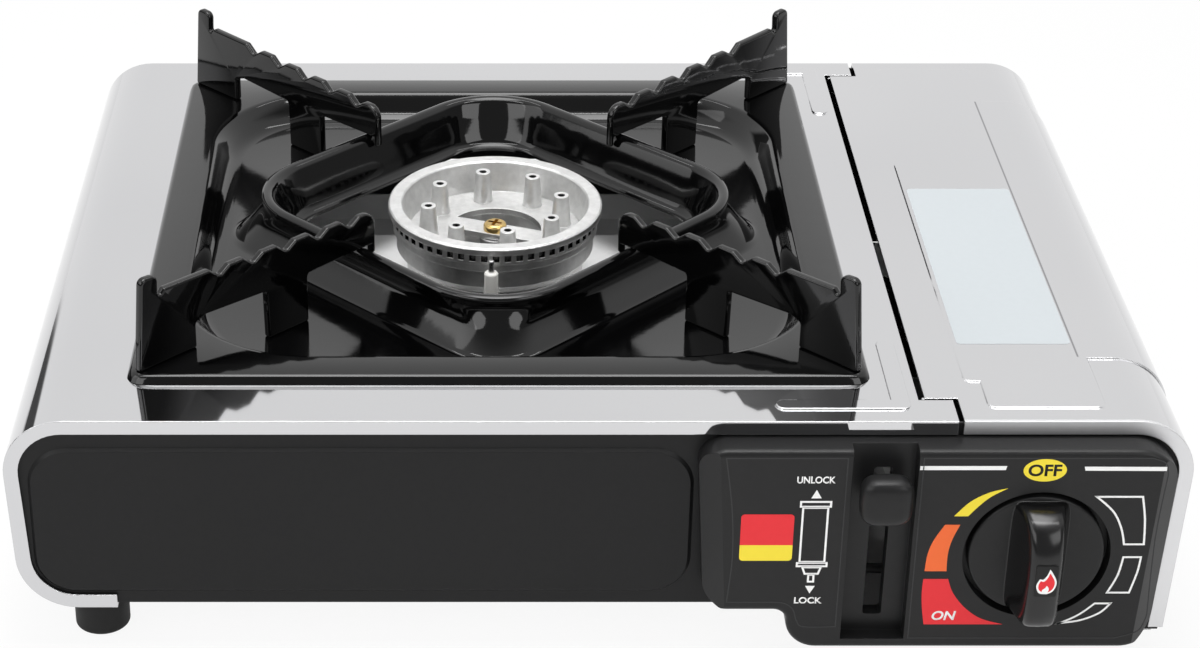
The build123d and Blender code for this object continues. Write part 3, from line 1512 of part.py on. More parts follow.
with BuildPart() as ring_hollow:
    hollow_top = ring_z - pan_sheet
    loft(
        [
            rounded_square(pan_low, ring_base - pan_sheet, ring_radius, 45),
            rounded_square(hollow_top, ring_half - pan_sheet, ring_radius - pan_sheet, 45),
        ],
        ruled=True,
    )
    loft(
        [
            rounded_square(pan_low, throat_low + pan_sheet, throat_radius, 45),
            rounded_square(hollow_top, throat_half + pan_sheet, throat_radius + pan_sheet, 45),
        ],
        ruled=True,
        mode=Mode.SUBTRACT,
    )

with BuildPart() as drip_pan:
    loft(
        [
            rounded_square(pan_z, pan_half, pan_corner),
            rounded_square(land_z, pan_half - skirt_run, pan_corner),
        ],
        ruled=True,
    )
    skirt_fall = skirt_run * (land_rise - pan_sheet) / land_rise
    loft(
        [
            rounded_square(pan_z, pan_half - skirt_wall, pan_corner),
            rounded_square(land_z - pan_sheet, pan_half - skirt_fall - skirt_wall, pan_corner),
        ],
        ruled=True,
        mode=Mode.SUBTRACT,
    )
    add(dish_outside.part)
    add(dish_inside.part, mode=Mode.SUBTRACT)
    land_edges = drip_pan.edges().filter_by_position(Axis.Z, land_z - pin_fit, land_z + pin_fit)
    fillet(land_edges, radius=land_round)
    loft(
        [
            rounded_square(pan_low, ring_base, ring_radius + ring_wall_run, 45),
            rounded_square(ring_z, ring_half, ring_radius, 45),
        ],
        ruled=True,
    )
    add(ring_hollow.part, mode=Mode.SUBTRACT)
    loft(
        [
            rounded_square(dish_z, throat_low, throat_radius, 45),
            rounded_square(ring_z, throat_half, throat_radius, 45),
        ],
        ruled=True,
        mode=Mode.SUBTRACT,
    )
    mouth_half = throat_low - throat_flange
    extrude(rounded_square(pan_low, mouth_half, throat_radius, 45), amount=2 * pan_sheet, mode=Mode.SUBTRACT)
    fillet(drip_pan.edges().group_by(Axis.Z)[-1], radius=lip_round)
drip_pan.part.label = "drip_pan"
export_step(drip_pan.part, "parts/drip_pan.step")

# Pot supports: four toothed plates on the pan's diagonals, hooked over the ring's lip
def corner_reach(half, radius):
    # How far a rounded square reaches along its diagonal
    return half * hypot(1, 1) - radius * (hypot(1, 1) - 1)


land_level = land_z - top_height
floor_level = dish_z - top_height
lip_level = ring_rise + pan_rest_gap
floor_room = corner_reach(floor_half, floor_radius) - ring_base
leg_inner = ring_base + leg_inner_share * floor_room
leg_outer = ring_base + leg_outer_share * floor_room
outer_leg = corner_reach(dish_half, dish_radius) + outer_leg_gap
support_inner = throat_half - hook_width - hook_gap
support_outer = corner_reach(pan_half - skirt_run, pan_corner) - support_set_in
ridge_end = support_outer - ridge_set_in
ridge_start = ridge_end - ridge_length
tooth_pitch = tooth_share * (ridge_start - support_inner)
tooth_run = tooth_run_share * tooth_pitch
inner_top = ridge_height - horn_fall - tooth_count * tooth_fall

support_corners = [
    (outer_leg, land_level, 0),
    (support_outer, land_level, 0),
    (support_outer - horn_lean, support_horn, horn_round),
    (support_outer - horn_lean - horn_width, support_horn - horn_fall, horn_round),
    (ridge_end + horn_lean, horn_root, notch_round),
    (ridge_end, ridge_height, notch_round),
    (ridge_start, ridge_height - horn_fall, tooth_round),
]
for tooth in range(tooth_count):
    notch = ridge_start - tooth_run - tooth * tooth_pitch
    crest = ridge_height - horn_fall - (tooth + 1) * tooth_fall
    support_corners.append((notch, crest - tooth_depth, tooth_round))
    support_corners.append((notch - tooth_run, crest, tooth_round))
    if tooth < tooth_count - 1:
        support_corners.append((notch + tooth_run - tooth_pitch, crest, tooth_round))
support_corners += [
    (support_inner, inner_top, hook_round),
    (support_inner, hook_low, 0),
    (support_inner + hook_width, hook_low, 0),
    (support_inner + hook_width, lip_level, 0),
    (ring_half + hook_width, lip_level, 0),
    (leg_inner, window_low, window_round),
    (leg_inner, floor_level, 0),
    (leg_outer, floor_level, 0),
    (leg_outer + horn_fall, window_low, window_round),
    (outer_leg - window_slope, window_high, window_round),
    (outer_leg, window_low, window_round),
]
support_line = [(out, up) for out, up, bend in support_corners]
support_bends = [bend for out, up, bend in support_corners]
for step, corner in enumerate(("rear_right", "rear_left", "front_left", "front_right")):
    angle = radians((step + 0.5) * quarter_turn)
    along = (cos(angle), sin(angle), 0)
    across = (sin(angle), -cos(angle), 0)
    with BuildPart() as pot_support:
        with BuildSketch(Plane(origin=(pan_x, y_mid, top_height), x_dir=along, z_dir=across)):
            with BuildLine():
                FilletPolyline(*support_line, radius=support_bends, close=True)
            make_face()
        extrude(amount=support_thickness / 2, both=True)
    pot_support.part.label = f"pot_support_{corner}"
    export_step(pot_support.part, f"parts/pot_support_{corner}.step")

# Feet: rubber, tall on the left and short under the cartridge bay, each with a screw in its recess
foot_places = {
    "front_left": (foot_left_x, y_front + foot_set_in, floor_height),
    "rear_left": (foot_left_x, y_back - foot_set_in, floor_height),
    "front_right": (foot_right_x, y_front + foot_set_in, bay_floor_height),
    "rear_right": (foot_right_x, y_back - foot_set_in, bay_floor_height),
}
for corner, (foot_x, foot_y, foot_height) in foot_places.items():
    with BuildPart() as foot:
        with BuildSketch():
            with Locations((foot_x, foot_y)):
                Circle(foot_radius)
        extrude(amount=foot_height)
        fillet(foot.edges().group_by(Axis.Z)[0], radius=foot_round)
        with BuildSketch():
            with Locations((foot_x, foot_y)):
                Circle(foot_recess)
        extrude(amount=foot_height - foot_web, mode=Mode.SUBTRACT)
        with BuildSketch():
            with Locations((foot_x, foot_y)):
                Circle(foot_screw_radius + running_fit)
        extrude(amount=foot_height, mode=Mode.SUBTRACT)
    foot.part.label = f"foot_{corner}"
    export_step(foot.part, f"parts/foot_{corner}.step")

with BuildPart() as foot_screws:
    for foot_x, foot_y, foot_height in foot_places.values():
        with Locations((foot_x, foot_y, foot_height - foot_web)):
            Cylinder(foot_screw_head, foot_screw_head_height, align=(Align.CENTER, Align.CENTER, Align.MAX))
            shank_length = foot_web + 2 * sheet + foot_screw_end
            Cylinder(foot_screw_radius, shank_length, align=(Align.CENTER, Align.CENTER, Align.MIN))
foot_screws.part.label = "foot_screws"
export_step(foot_screws.part, "parts/foot_screws.step")

with BuildPart() as rear_panel_screws:
    for screw_x in panel_screw_xs:
        with BuildSketch(front_plane(y_rear_face + panel_screw_head_height)):
            with Locations((screw_x, panel_screw_z)):
                Circle(panel_screw_head)
        extrude(amount=panel_screw_head_height)
        with BuildSketch(front_plane(y_rear_face)):
            with Locations((screw_x, panel_screw_z)):
                Circle(panel_screw_radius)
        extrude(amount=panel_sheet + sheet + foot_screw_end)
rear_panel_screws.part.label = "rear_panel_screws"
export_step(rear_panel_screws.part, "parts/rear_panel_screws.step")
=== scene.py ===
import json
import math

import bpy
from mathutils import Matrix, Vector


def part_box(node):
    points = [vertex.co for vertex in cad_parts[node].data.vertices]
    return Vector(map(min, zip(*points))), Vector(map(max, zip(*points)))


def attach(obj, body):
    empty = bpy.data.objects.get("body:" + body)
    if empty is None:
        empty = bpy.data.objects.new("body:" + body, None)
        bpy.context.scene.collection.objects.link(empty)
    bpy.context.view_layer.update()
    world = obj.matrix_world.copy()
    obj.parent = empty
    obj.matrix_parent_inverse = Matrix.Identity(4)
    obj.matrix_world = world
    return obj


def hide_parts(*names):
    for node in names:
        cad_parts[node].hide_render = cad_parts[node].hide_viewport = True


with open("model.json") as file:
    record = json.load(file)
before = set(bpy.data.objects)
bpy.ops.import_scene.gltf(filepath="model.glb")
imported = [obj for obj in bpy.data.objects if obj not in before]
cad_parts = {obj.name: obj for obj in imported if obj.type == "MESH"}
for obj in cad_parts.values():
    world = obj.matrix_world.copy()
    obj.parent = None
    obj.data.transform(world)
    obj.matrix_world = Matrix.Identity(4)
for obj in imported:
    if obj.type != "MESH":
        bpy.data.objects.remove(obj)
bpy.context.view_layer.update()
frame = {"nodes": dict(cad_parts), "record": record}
nodes = frame["nodes"]
mm = 0.001
print("frame loaded:", len(nodes), "nodes")

# Camera: level across, looking down at the front of the stove
cameraSettings = {
    "place": (-0.03787, -0.77465, 0.4691),
    "tilt": 61.353,
    "lens": 81.33,
    "sensor": 36,
    "shiftX": 0.1116,
    "clipStart": 0.01,
}


def addCamera(settings):
    turn = (math.radians(settings["tilt"]), 0, 0)
    bpy.ops.object.camera_add(location=settings["place"], rotation=turn)
    camera = bpy.context.object
    camera.data.sensor_width = settings["sensor"]
    camera.data.sensor_fit = "HORIZONTAL"
    camera.data.lens = settings["lens"]
    camera.data.shift_x = settings["shiftX"]
    camera.data.clip_start = settings["clipStart"]
    bpy.context.scene.camera = camera


addCamera(cameraSettings)
bpy.context.scene.view_settings.view_transform = "Standard"

# Studio: white floor, two thin strips and a small box overhead, soft boxes in front and on the left
studio = {
    "floorSize": 8,
    "floorColour": (0.86, 0.86, 0.86, 1),
    "floorWhite": 0.9,
    "floorMirror": {"front": 0.4, "back": 0.9, "from": -0.5, "to": 0.15},
    "floorLeft": {"far": -1.4, "near": -0.6, "share": 0.12, "slope": 0.6, "dark": -0.27, "clear": -0.24},
    "skyPlain": 0.42,
    "skyMirror": {"front": 0.26, "above": 1.0, "from": 0.2, "to": 0.62},
    "skyCrown": {"from": 0.93, "to": 0.98, "glow": 6.0},
    "leftCard": {"low": 0.2, "high": 0.3, "start": -0.5, "end": -0.486, "dark": 0.92},
    "lamps": [
        {"name": "stripFront", "place": (-0.02, -0.3, 1.05), "size": (1.3, 0.06), "watts": 2.6},
        {"name": "stripBack", "place": (-0.02, 0.45, 1.15), "size": (1.3, 0.08), "watts": 2.0},
        {"name": "frontBoxLeft", "place": (-0.85, -0.95, 0.75), "size": (0.7, 0.6), "watts": 3.4},
        {"name": "frontBoxRight", "place": (0.81, -0.95, 0.75), "size": (0.7, 0.6), "watts": 3.4},
        {"name": "leftSoftbox", "place": (-1.1, -0.35, 0.65), "size": (0.7, 0.7), "watts": 2.5},
        {
            "name": "topSoftbox", "place": (-0.05, 0.02, 1.0), "size": (0.3, 0.3), "watts": 5.0,
            "mirrored": False,
        },
    ],
    "aim": (-0.02, 0.0, 0.06),
}


def addMath(tree, operation, first, second):
    node = tree.nodes.new("ShaderNodeMath")
    node.operation = operation
    for socket, value in zip(node.inputs, (first, second)):
        if isinstance(value, (int, float)):
            socket.default_value = value
        else:
            tree.links.new(value, socket)
    return node.outputs[0]


def addSpread(tree, value, fromLow, fromHigh, toLow, toHigh):
    node = tree.nodes.new("ShaderNodeMapRange")
    node.interpolation_type = "SMOOTHSTEP"
    limits = {"From Min": fromLow, "From Max": fromHigh, "To Min": toLow, "To Max": toHigh}
    for name, number in limits.items():
        node.inputs[name].default_value = number
    tree.links.new(value, node.inputs["Value"])
    return node.outputs["Result"]


def addFloor(settings):
    bpy.ops.mesh.primitive_plane_add(size=settings["floorSize"])
    floor = bpy.context.object
    floor.name = "floor"
    material = bpy.data.materials.new("floorWhite")
    material.use_nodes = True
    tree = material.node_tree
    tree.nodes.clear()
    diffuse = tree.nodes.new("ShaderNodeBsdfDiffuse")
    diffuse.inputs["Color"].default_value = settings["floorColour"]
    glow = tree.nodes.new("ShaderNodeEmission")
    path = tree.nodes.new("ShaderNodeLightPath")
    place = tree.nodes.new("ShaderNodeTexCoord").outputs["Object"]
    apart = tree.nodes.new("ShaderNodeSeparateXYZ")
    mix = tree.nodes.new("ShaderNodeMixShader")
    output = tree.nodes.new("ShaderNodeOutputMaterial")
    tree.links.new(place, apart.inputs[0])
    mirror = settings["floorMirror"]
    left = settings["floorLeft"]
    across, back = apart.outputs["X"], apart.outputs["Y"]
    depth = addSpread(tree, back, mirror["from"], mirror["to"], mirror["front"], mirror["back"])
    # The floor is mirrored dimmer on the left, past a slanted line
    side = addSpread(tree, across, left["far"], left["near"], left["share"], 1.0)
    slant = addMath(tree, "ADD", across, addMath(tree, "MULTIPLY", back, left["slope"]))
    side = addMath(tree, "MAXIMUM", side, addSpread(tree, slant, left["dark"], left["clear"], 0.0, 1.0))
    share = addMath(tree, "MULTIPLY", depth, side)
    mirrored = addMath(tree, "MULTIPLY", share, path.outputs["Is Glossy Ray"])
    seen = addMath(tree, "MULTIPLY", path.outputs["Is Camera Ray"], settings["floorWhite"])
    tree.links.new(addMath(tree, "MAXIMUM", mirrored, seen), mix.inputs[0])
    tree.links.new(diffuse.outputs[0], mix.inputs[1])
    tree.links.new(glow.outputs[0], mix.inputs[2])
    tree.links.new(mix.outputs[0], output.inputs["Surface"])
    floor.data.materials.append(material)


def addWorld(settings):
    world = bpy.data.worlds.new("studioWorld")
    bpy.context.scene.world = world
    world.use_nodes = True
    tree = world.node_tree
    tree.nodes.clear()
    light = tree.nodes.new("ShaderNodeBackground")
    light.inputs["Color"].default_value = (1, 1, 1, 1)
    output = tree.nodes.new("ShaderNodeOutputWorld")
    path = tree.nodes.new("ShaderNodeLightPath")
    apart = tree.nodes.new("ShaderNodeSeparateXYZ")
    tree.links.new(tree.nodes.new("ShaderNodeTexCoord").outputs["Generated"], apart.inputs[0])
    # Reflections see a soft box overhead, a bright room behind, a dimmer one in front
    # and a dark card low on the left
    sky = settings["skyMirror"]
    crown = settings["skyCrown"]
    card = settings["leftCard"]
    lean = addMath(tree, "ADD", apart.outputs["Y"], apart.outputs["Z"])
    room = addSpread(tree, lean, sky["from"], sky["to"], sky["front"], sky["above"])
    low = addSpread(tree, apart.outputs["Z"], card["low"], card["high"], card["dark"], 0.0)
    left = addSpread(tree, apart.outputs["X"], card["start"], card["end"], 1.0, 0.0)
    clear = addMath(tree, "SUBTRACT", 1.0, addMath(tree, "MULTIPLY", low, left))
    box = addSpread(tree, apart.outputs["Z"], crown["from"], crown["to"], 0.0, crown["glow"])
    around = addMath(tree, "ADD", addMath(tree, "MULTIPLY", room, clear), box)
    mirrored = addMath(tree, "MULTIPLY", around, path.outputs["Is Glossy Ray"])
    seen = addMath(tree, "MAXIMUM", path.outputs["Is Camera Ray"], path.outputs["Is Transmission Ray"])
    shown = addMath(tree, "MAXIMUM", mirrored, seen)
    direct = addMath(tree, "MAXIMUM", seen, path.outputs["Is Glossy Ray"])
    plain = addMath(tree, "MULTIPLY", addMath(tree, "SUBTRACT", 1.0, direct), settings["skyPlain"])
    tree.links.new(addMath(tree, "ADD", shown, plain), light.inputs["Strength"])
    tree.links.new(light.outputs[0], output.inputs["Surface"])


def addLamp(settings, target):
    aim = Vector(target) - Vector(settings["place"])
    turn = aim.to_track_quat("-Z", "Y").to_euler()
    bpy.ops.object.light_add(type="AREA", location=settings["place"], rotation=turn)
    lamp = bpy.context.object
    lamp.name = settings["name"]
    lamp.data.shape = "RECTANGLE"
    lamp.data.size, lamp.data.size_y = settings["size"]
    lamp.data.energy = settings["watts"]
    lamp.visible_camera = False
    lamp.visible_glossy = settings.get("mirrored", True)


addFloor(studio)
addWorld(studio)
for lampSettings in studio["lamps"]:
    addLamp(lampSettings, studio["aim"])
print("studio ready")

# Shared node groups
grainShape = {
    "scale": 900.0,
    "coarseShare": 0.35,
    "coarseScale": 0.22,
    "fineDetail": 3,
    "coarseDetail": 2,
}
smudgeShape = {
    "scale": 18.0,
    "low": 0.1,
    "high": 0.2,
    "detail": 5,
    "roughness": 0.62,
    "from": 0.35,
    "to": 0.68,
}


def startGroup(name, inputs, outputs):
    group = bpy.data.node_groups.new(name, "ShaderNodeTree")
    for socketName, socketType, value in inputs:
        socket = group.interface.new_socket(name=socketName, in_out="INPUT", socket_type=socketType)
        if value is not None:
            socket.default_value = value
    for socketName, socketType in outputs:
        group.interface.new_socket(name=socketName, in_out="OUTPUT", socket_type=socketType)
    return group, group.nodes.new("NodeGroupInput"), group.nodes.new("NodeGroupOutput")


def makeGrainGroup(settings):
    # Fine even grain with a second, coarser layer under it
    group, start, end = startGroup(
        "fineGrain",
        [
            ("Vector", "NodeSocketVector", None),
            ("Scale", "NodeSocketFloat", settings["scale"]),
            ("Coarse Share", "NodeSocketFloat", settings["coarseShare"]),
        ],
        [("Height", "NodeSocketFloat"), ("Mask", "NodeSocketFloat")],
    )
    fine = group.nodes.new("ShaderNodeTexNoise")
    fine.inputs["Detail"].default_value = settings["fineDetail"]
    coarse = group.nodes.new("ShaderNodeTexNoise")
    coarse.inputs["Detail"].default_value = settings["coarseDetail"]
    wider = addMath(group, "MULTIPLY", start.outputs["Scale"], settings["coarseScale"])
    mix = group.nodes.new("ShaderNodeMix")
    links = group.links
    links.new(start.outputs["Vector"], fine.inputs["Vector"])
    links.new(start.outputs["Scale"], fine.inputs["Scale"])
    links.new(start.outputs["Vector"], coarse.inputs["Vector"])
    links.new(wider, coarse.inputs["Scale"])
    links.new(start.outputs["Coarse Share"], mix.inputs["Factor"])
    links.new(fine.outputs["Fac"], mix.inputs["A"])
    links.new(coarse.outputs["Fac"], mix.inputs["B"])
    links.new(mix.outputs["Result"], end.inputs["Height"])
    links.new(coarse.outputs["Fac"], end.inputs["Mask"])
    return group


def makeSmudgeGroup(settings):
    # Faint uneven patches, as hands and cleaning leave them
    group, start, end = startGroup(
        "handSmudges",
        [
            ("Vector", "NodeSocketVector", None),
            ("Scale", "NodeSocketFloat", settings["scale"]),
            ("Low", "NodeSocketFloat", settings["low"]),
            ("High", "NodeSocketFloat", settings["high"]),
        ],
        [("Value", "NodeSocketFloat")],
    )
    broad = group.nodes.new("ShaderNodeTexNoise")
    broad.inputs["Detail"].default_value = settings["detail"]
    broad.inputs["Roughness"].default_value = settings["roughness"]
    spread = group.nodes.new("ShaderNodeMapRange")
    spread.inputs["From Min"].default_value = settings["from"]
    spread.inputs["From Max"].default_value = settings["to"]
    links = group.links
    links.new(start.outputs["Vector"], broad.inputs["Vector"])
    links.new(start.outputs["Scale"], broad.inputs["Scale"])
    links.new(broad.outputs["Fac"], spread.inputs["Value"])
    links.new(start.outputs["Low"], spread.inputs["To Min"])
    links.new(start.outputs["High"], spread.inputs["To Max"])
    links.new(spread.outputs["Result"], end.inputs["Value"])
    return group


grainGroup = makeGrainGroup(grainShape)
smudgeGroup = makeSmudgeGroup(smudgeShape)
tintRange = (0.32, 0.68)
edgeSamples = 6


class Finish:
    # One material and the few nodes that every finish here starts from
    def __init__(self, name, colour, roughness, metallic=0.0):
        self.material = bpy.data.materials.new(name)
        self.material.use_nodes = True
        self.tree = self.material.node_tree
        self.shader = self.tree.nodes["Principled BSDF"]
        self.shader.inputs["Base Color"].default_value = (*colour, 1)
        self.shader.inputs["Roughness"].default_value = roughness
        self.shader.inputs["Metallic"].default_value = metallic
        self.place = self.tree.nodes.new("ShaderNodeTexCoord").outputs["Object"]

    def node(self, kind, **values):
        made = self.tree.nodes.new(kind)
        for key, value in values.items():
            setattr(made, key, value)
        return made

    def link(self, start, end):
        self.tree.links.new(start, end)

    def group(self, group, place=None, **values):
        made = self.node("ShaderNodeGroup", node_tree=group)
        self.link(place or self.place, made.inputs["Vector"])
        for key, value in values.items():
            made.inputs[key].default_value = value
        return made

    def stretched(self, scale):
        mapping = self.node("ShaderNodeMapping")
        mapping.inputs["Scale"].default_value = scale
        self.link(self.place, mapping.inputs["Vector"])
        return mapping.outputs["Vector"]

    def bump(self, height, strength, distance):
        made = self.node("ShaderNodeBump")
        made.inputs["Strength"].default_value = strength
        made.inputs["Distance"].default_value = distance
        self.link(height, made.inputs["Height"])
        before = self.shader.inputs["Normal"].links
        if before:
            self.link(before[0].from_socket, made.inputs["Normal"])
        self.link(made.outputs["Normal"], self.shader.inputs["Normal"])

    def rounded(self, radius):
        # Lets a sharp edge catch the light
        made = self.node("ShaderNodeBevel", samples=edgeSamples)
        made.inputs["Radius"].default_value = radius
        self.link(made.outputs["Normal"], self.shader.inputs["Normal"])

    def gloss(self, level):
        self.shader.inputs["Specular IOR Level"].default_value = level

    def smudges(self, scale, low, high):
        patches = self.group(smudgeGroup, Scale=scale, Low=low, High=high)
        self.link(patches.outputs["Value"], self.shader.inputs["Roughness"])

    def blend(self, socketName, kind, share, value):
        # Goes over to another value where the share is 1
        mix = self.node("ShaderNodeMix", data_type=kind)
        first, second = [socket for socket in mix.inputs if socket.enabled and socket.name in ("A", "B")]
        socket = self.shader.inputs[socketName]
        self.link(share, mix.inputs["Factor"])
        self.link(socket.links[0].from_socket, first)
        second.default_value = value
        self.link([result for result in mix.outputs if result.enabled][0], socket)

    def tint(self, mask, dark, light):
        ramp = self.node("ShaderNodeValToRGB")
        for index, colour in enumerate((dark, light)):
            ramp.color_ramp.elements[index].color = (*colour, 1)
            ramp.color_ramp.elements[index].position = tintRange[index]
        self.link(mask, ramp.inputs["Fac"])
        self.link(ramp.outputs["Color"], self.shader.inputs["Base Color"])


def shaded(colour, share):
    return tuple(share * value for value in colour)


def brushEdge(finish, settings):
    # A brushed front edge, and one thin darker line of painted shade along the sheet's crease
    tree = finish.tree
    apart = finish.node("ShaderNodeSeparateXYZ")
    finish.link(finish.place, apart.inputs[0])
    across, back = apart.outputs["X"], apart.outputs["Y"]
    share = addSpread(tree, back, settings["from"], settings["to"], 1.0, 0.0)
    finish.blend("Roughness", "FLOAT", share, settings["roughness"])
    finish.blend("Base Color", "RGBA", share, (*settings["colour"], 1))
    # Painted shade: a dark line in the colour along the crease, standing in for the shade of its step
    creaseShade = settings["creaseShade"]
    aside = addMath(tree, "ABSOLUTE", addMath(tree, "SUBTRACT", across, creaseShade["x"]), 0.0)
    line = addSpread(tree, aside, creaseShade["core"], creaseShade["edge"], 1.0, 0.0)
    ahead = addSpread(tree, back, creaseShade["from"], creaseShade["from"] + creaseShade["fade"], 0.0, 1.0)
    behind = addSpread(tree, back, creaseShade["to"] - creaseShade["fade"], creaseShade["to"], 1.0, 0.0)
    line = addMath(tree, "MULTIPLY", line, addMath(tree, "MULTIPLY", ahead, behind))
    finish.blend("Base Color", "RGBA", line, (*creaseShade["colour"], 1))


# Settings of the finishes: "rough" is from and to, "relief" is the strength and depth of the bump
polish = {
    "colour": (0.63, 0.63, 0.64),
    "dark": (0.615, 0.615, 0.627),
    "light": (0.645, 0.645, 0.655),
    "roughness": 0.05,
    "rough": (0.03, 0.075),
    "edge": 0.4 * mm,
    "smudgeScale": 14.0,
    "grainScale": 26.0,
    "waveScale": 9.0,
    "waveDetail": 1.0,
    "relief": (0.08, 1.5 * mm),
}


def makePolishedSteel(name, settings, brushed=None):
    finish = Finish(name, settings["colour"], settings["roughness"], metallic=1.0)
    finish.rounded(settings["edge"])
    finish.smudges(settings["smudgeScale"], *settings["rough"])
    grain = finish.group(grainGroup, Scale=settings["grainScale"])
    finish.tint(grain.outputs["Mask"], settings["dark"], settings["light"])
    wave = finish.node("ShaderNodeTexNoise")
    wave.inputs["Scale"].default_value = settings["waveScale"]
    wave.inputs["Detail"].default_value = settings["waveDetail"]
    finish.link(finish.place, wave.inputs["Vector"])
    finish.bump(wave.outputs["Fac"], *settings["relief"])
    if brushed:
        brushEdge(finish, brushed)
    return finish.material


# Metals with fine marks along one direction: rolled sheet and turned brass
streakedMetals = {
    "plainSteel": {
        "colour": (0.56, 0.56, 0.56), "rough": (0.22, 0.38), "smudgeScale": 40.0, "stretch": (30, 900, 900),
        "grainScale": 1.6, "darker": 0.9, "relief": (0.15, 0.2 * mm),
    },
    "brass": {
        "colour": (0.62, 0.44, 0.17), "rough": (0.2, 0.36), "smudgeScale": 120.0, "stretch": (200, 200, 3000),
        "grainScale": 1.0, "darker": 0.8, "relief": (0.2, 0.2 * mm),
    },
}


def makeStreaked(name, settings):
    colour = settings["colour"]
    finish = Finish(name, colour, settings["rough"][0], metallic=1.0)
    finish.smudges(settings["smudgeScale"], *settings["rough"])
    place = finish.stretched(settings["stretch"])
    streaks = finish.group(grainGroup, place=place, Scale=settings["grainScale"])
    finish.tint(streaks.outputs["Mask"], shaded(colour, settings["darker"]), colour)
    finish.bump(streaks.outputs["Height"], *settings["relief"])
    return finish.material


paintSmudges = 30.0
paintDepth = 0.2 * mm


def makePaint(name, colour, spread, rough, grain, gloss=0.5, edge=0.3 * mm):
    grainScale, grainStrength = grain
    finish = Finish(name, colour, rough[0])
    finish.gloss(gloss)
    finish.rounded(edge)
    finish.smudges(paintSmudges, *rough)
    skin = finish.group(grainGroup, Scale=grainScale)
    finish.tint(skin.outputs["Mask"], colour, shaded(colour, spread))
    finish.bump(skin.outputs["Height"], grainStrength, paintDepth)
    return finish.material


enamel = {
    "colour": (0.0013, 0.0013, 0.0014),
    "dark": (0.001, 0.001, 0.0011),
    "light": (0.0016, 0.0016, 0.0017),
    "roughness": 0.08,
    "rough": (0.05, 0.11),
    "gloss": 0.5,
    "smudgeScale": 22.0,
    "grainScale": 150.0,
    "relief": (0.05, 0.6 * mm),
}


def makeEnamel(name, settings, edge):
    finish = Finish(name, settings["colour"], settings["roughness"])
    finish.gloss(settings["gloss"])
    if edge:
        finish.rounded(edge)
    finish.smudges(settings["smudgeScale"], *settings["rough"])
    grain = finish.group(grainGroup, Scale=settings["grainScale"])
    finish.tint(grain.outputs["Mask"], settings["dark"], settings["light"])
    finish.bump(grain.outputs["Height"], *settings["relief"])
    return finish.material


casting = {
    "roughness": 0.5,
    "rough": (0.36, 0.5),
    "edge": 0.4 * mm,
    "grainScale": 1700.0,
    "blotchScale": 160.0,
    # Painted shade in holes and corners: its samples, range and near black colour
    "paintedShadeSamples": 8,
    "paintedShadeRange": (0.3, 0.62),
    "paintedShadeColour": (0.012, 0.012, 0.012, 1),
    "relief": (0.3, 0.4 * mm),
}


def makeCasting(name, settings, colour, bright, shadeReach):
    # Sand cast skin, with painted shade darkening it in its holes and corners
    low, high = settings["rough"]
    finish = Finish(name, colour, settings["roughness"], metallic=1.0)
    finish.rounded(settings["edge"])
    grain = finish.group(grainGroup, Scale=settings["grainScale"])
    blotch = finish.group(smudgeGroup, Scale=settings["blotchScale"], Low=low, High=high)
    finish.tint(grain.outputs["Mask"], colour, bright)
    skin = finish.shader.inputs["Base Color"].links[0].from_socket
    # Painted shade: ambient occlusion turns the colour near black in holes, ports and corners
    occlusionShade = finish.node("ShaderNodeAmbientOcclusion", samples=settings["paintedShadeSamples"], only_local=True)
    occlusionShade.inputs["Distance"].default_value = shadeReach
    depth = addSpread(finish.tree, occlusionShade.outputs["AO"], *settings["paintedShadeRange"], 0.0, 1.0)
    shade = finish.node("ShaderNodeMix", data_type="RGBA")
    shade.inputs["A"].default_value = settings["paintedShadeColour"]
    finish.link(depth, shade.inputs["Factor"])
    finish.link(skin, shade.inputs["B"])
    finish.link(shade.outputs["Result"], finish.shader.inputs["Base Color"])
    finish.link(blotch.outputs["Value"], finish.shader.inputs["Roughness"])
    finish.bump(grain.outputs["Height"], *settings["relief"])
    return finish.material


inkShape = {"gloss": 0.25, "grainScale": 2200.0, "darker": 0.985, "relief": (0.03, 0.1 * mm)}


def makeInk(name, colour, roughness=0.42):
    finish = Finish(name, colour, roughness)
    finish.gloss(inkShape["gloss"])
    grain = finish.group(grainGroup, Scale=inkShape["grainScale"])
    finish.tint(grain.outputs["Mask"], shaded(colour, inkShape["darker"]), colour)
    finish.bump(grain.outputs["Height"], *inkShape["relief"])
    return finish.material


# The folded front edge of the cartridge lid is brushed, the rest of it polished with a painted shade line
# along its crease
lidFront = min(corner[1] for corner in nodes["cartridge_lid"].bound_box)
lidEdge = {
    "from": lidFront + 0.9 * mm,
    "to": lidFront + 1.5 * mm,
    "roughness": 0.42,
    "colour": (0.74, 0.74, 0.75),
    # Painted shade line along the crease: where it lies, its width, fade and colour
    "creaseShade": {
        "x": 141.9 * mm,
        "from": lidFront + 36 * mm,
        "to": 104.3 * mm,
        "core": 0.12 * mm,
        "edge": 0.42 * mm,
        "fade": mm,
        "colour": (0.3, 0.3, 0.31),
    },
}

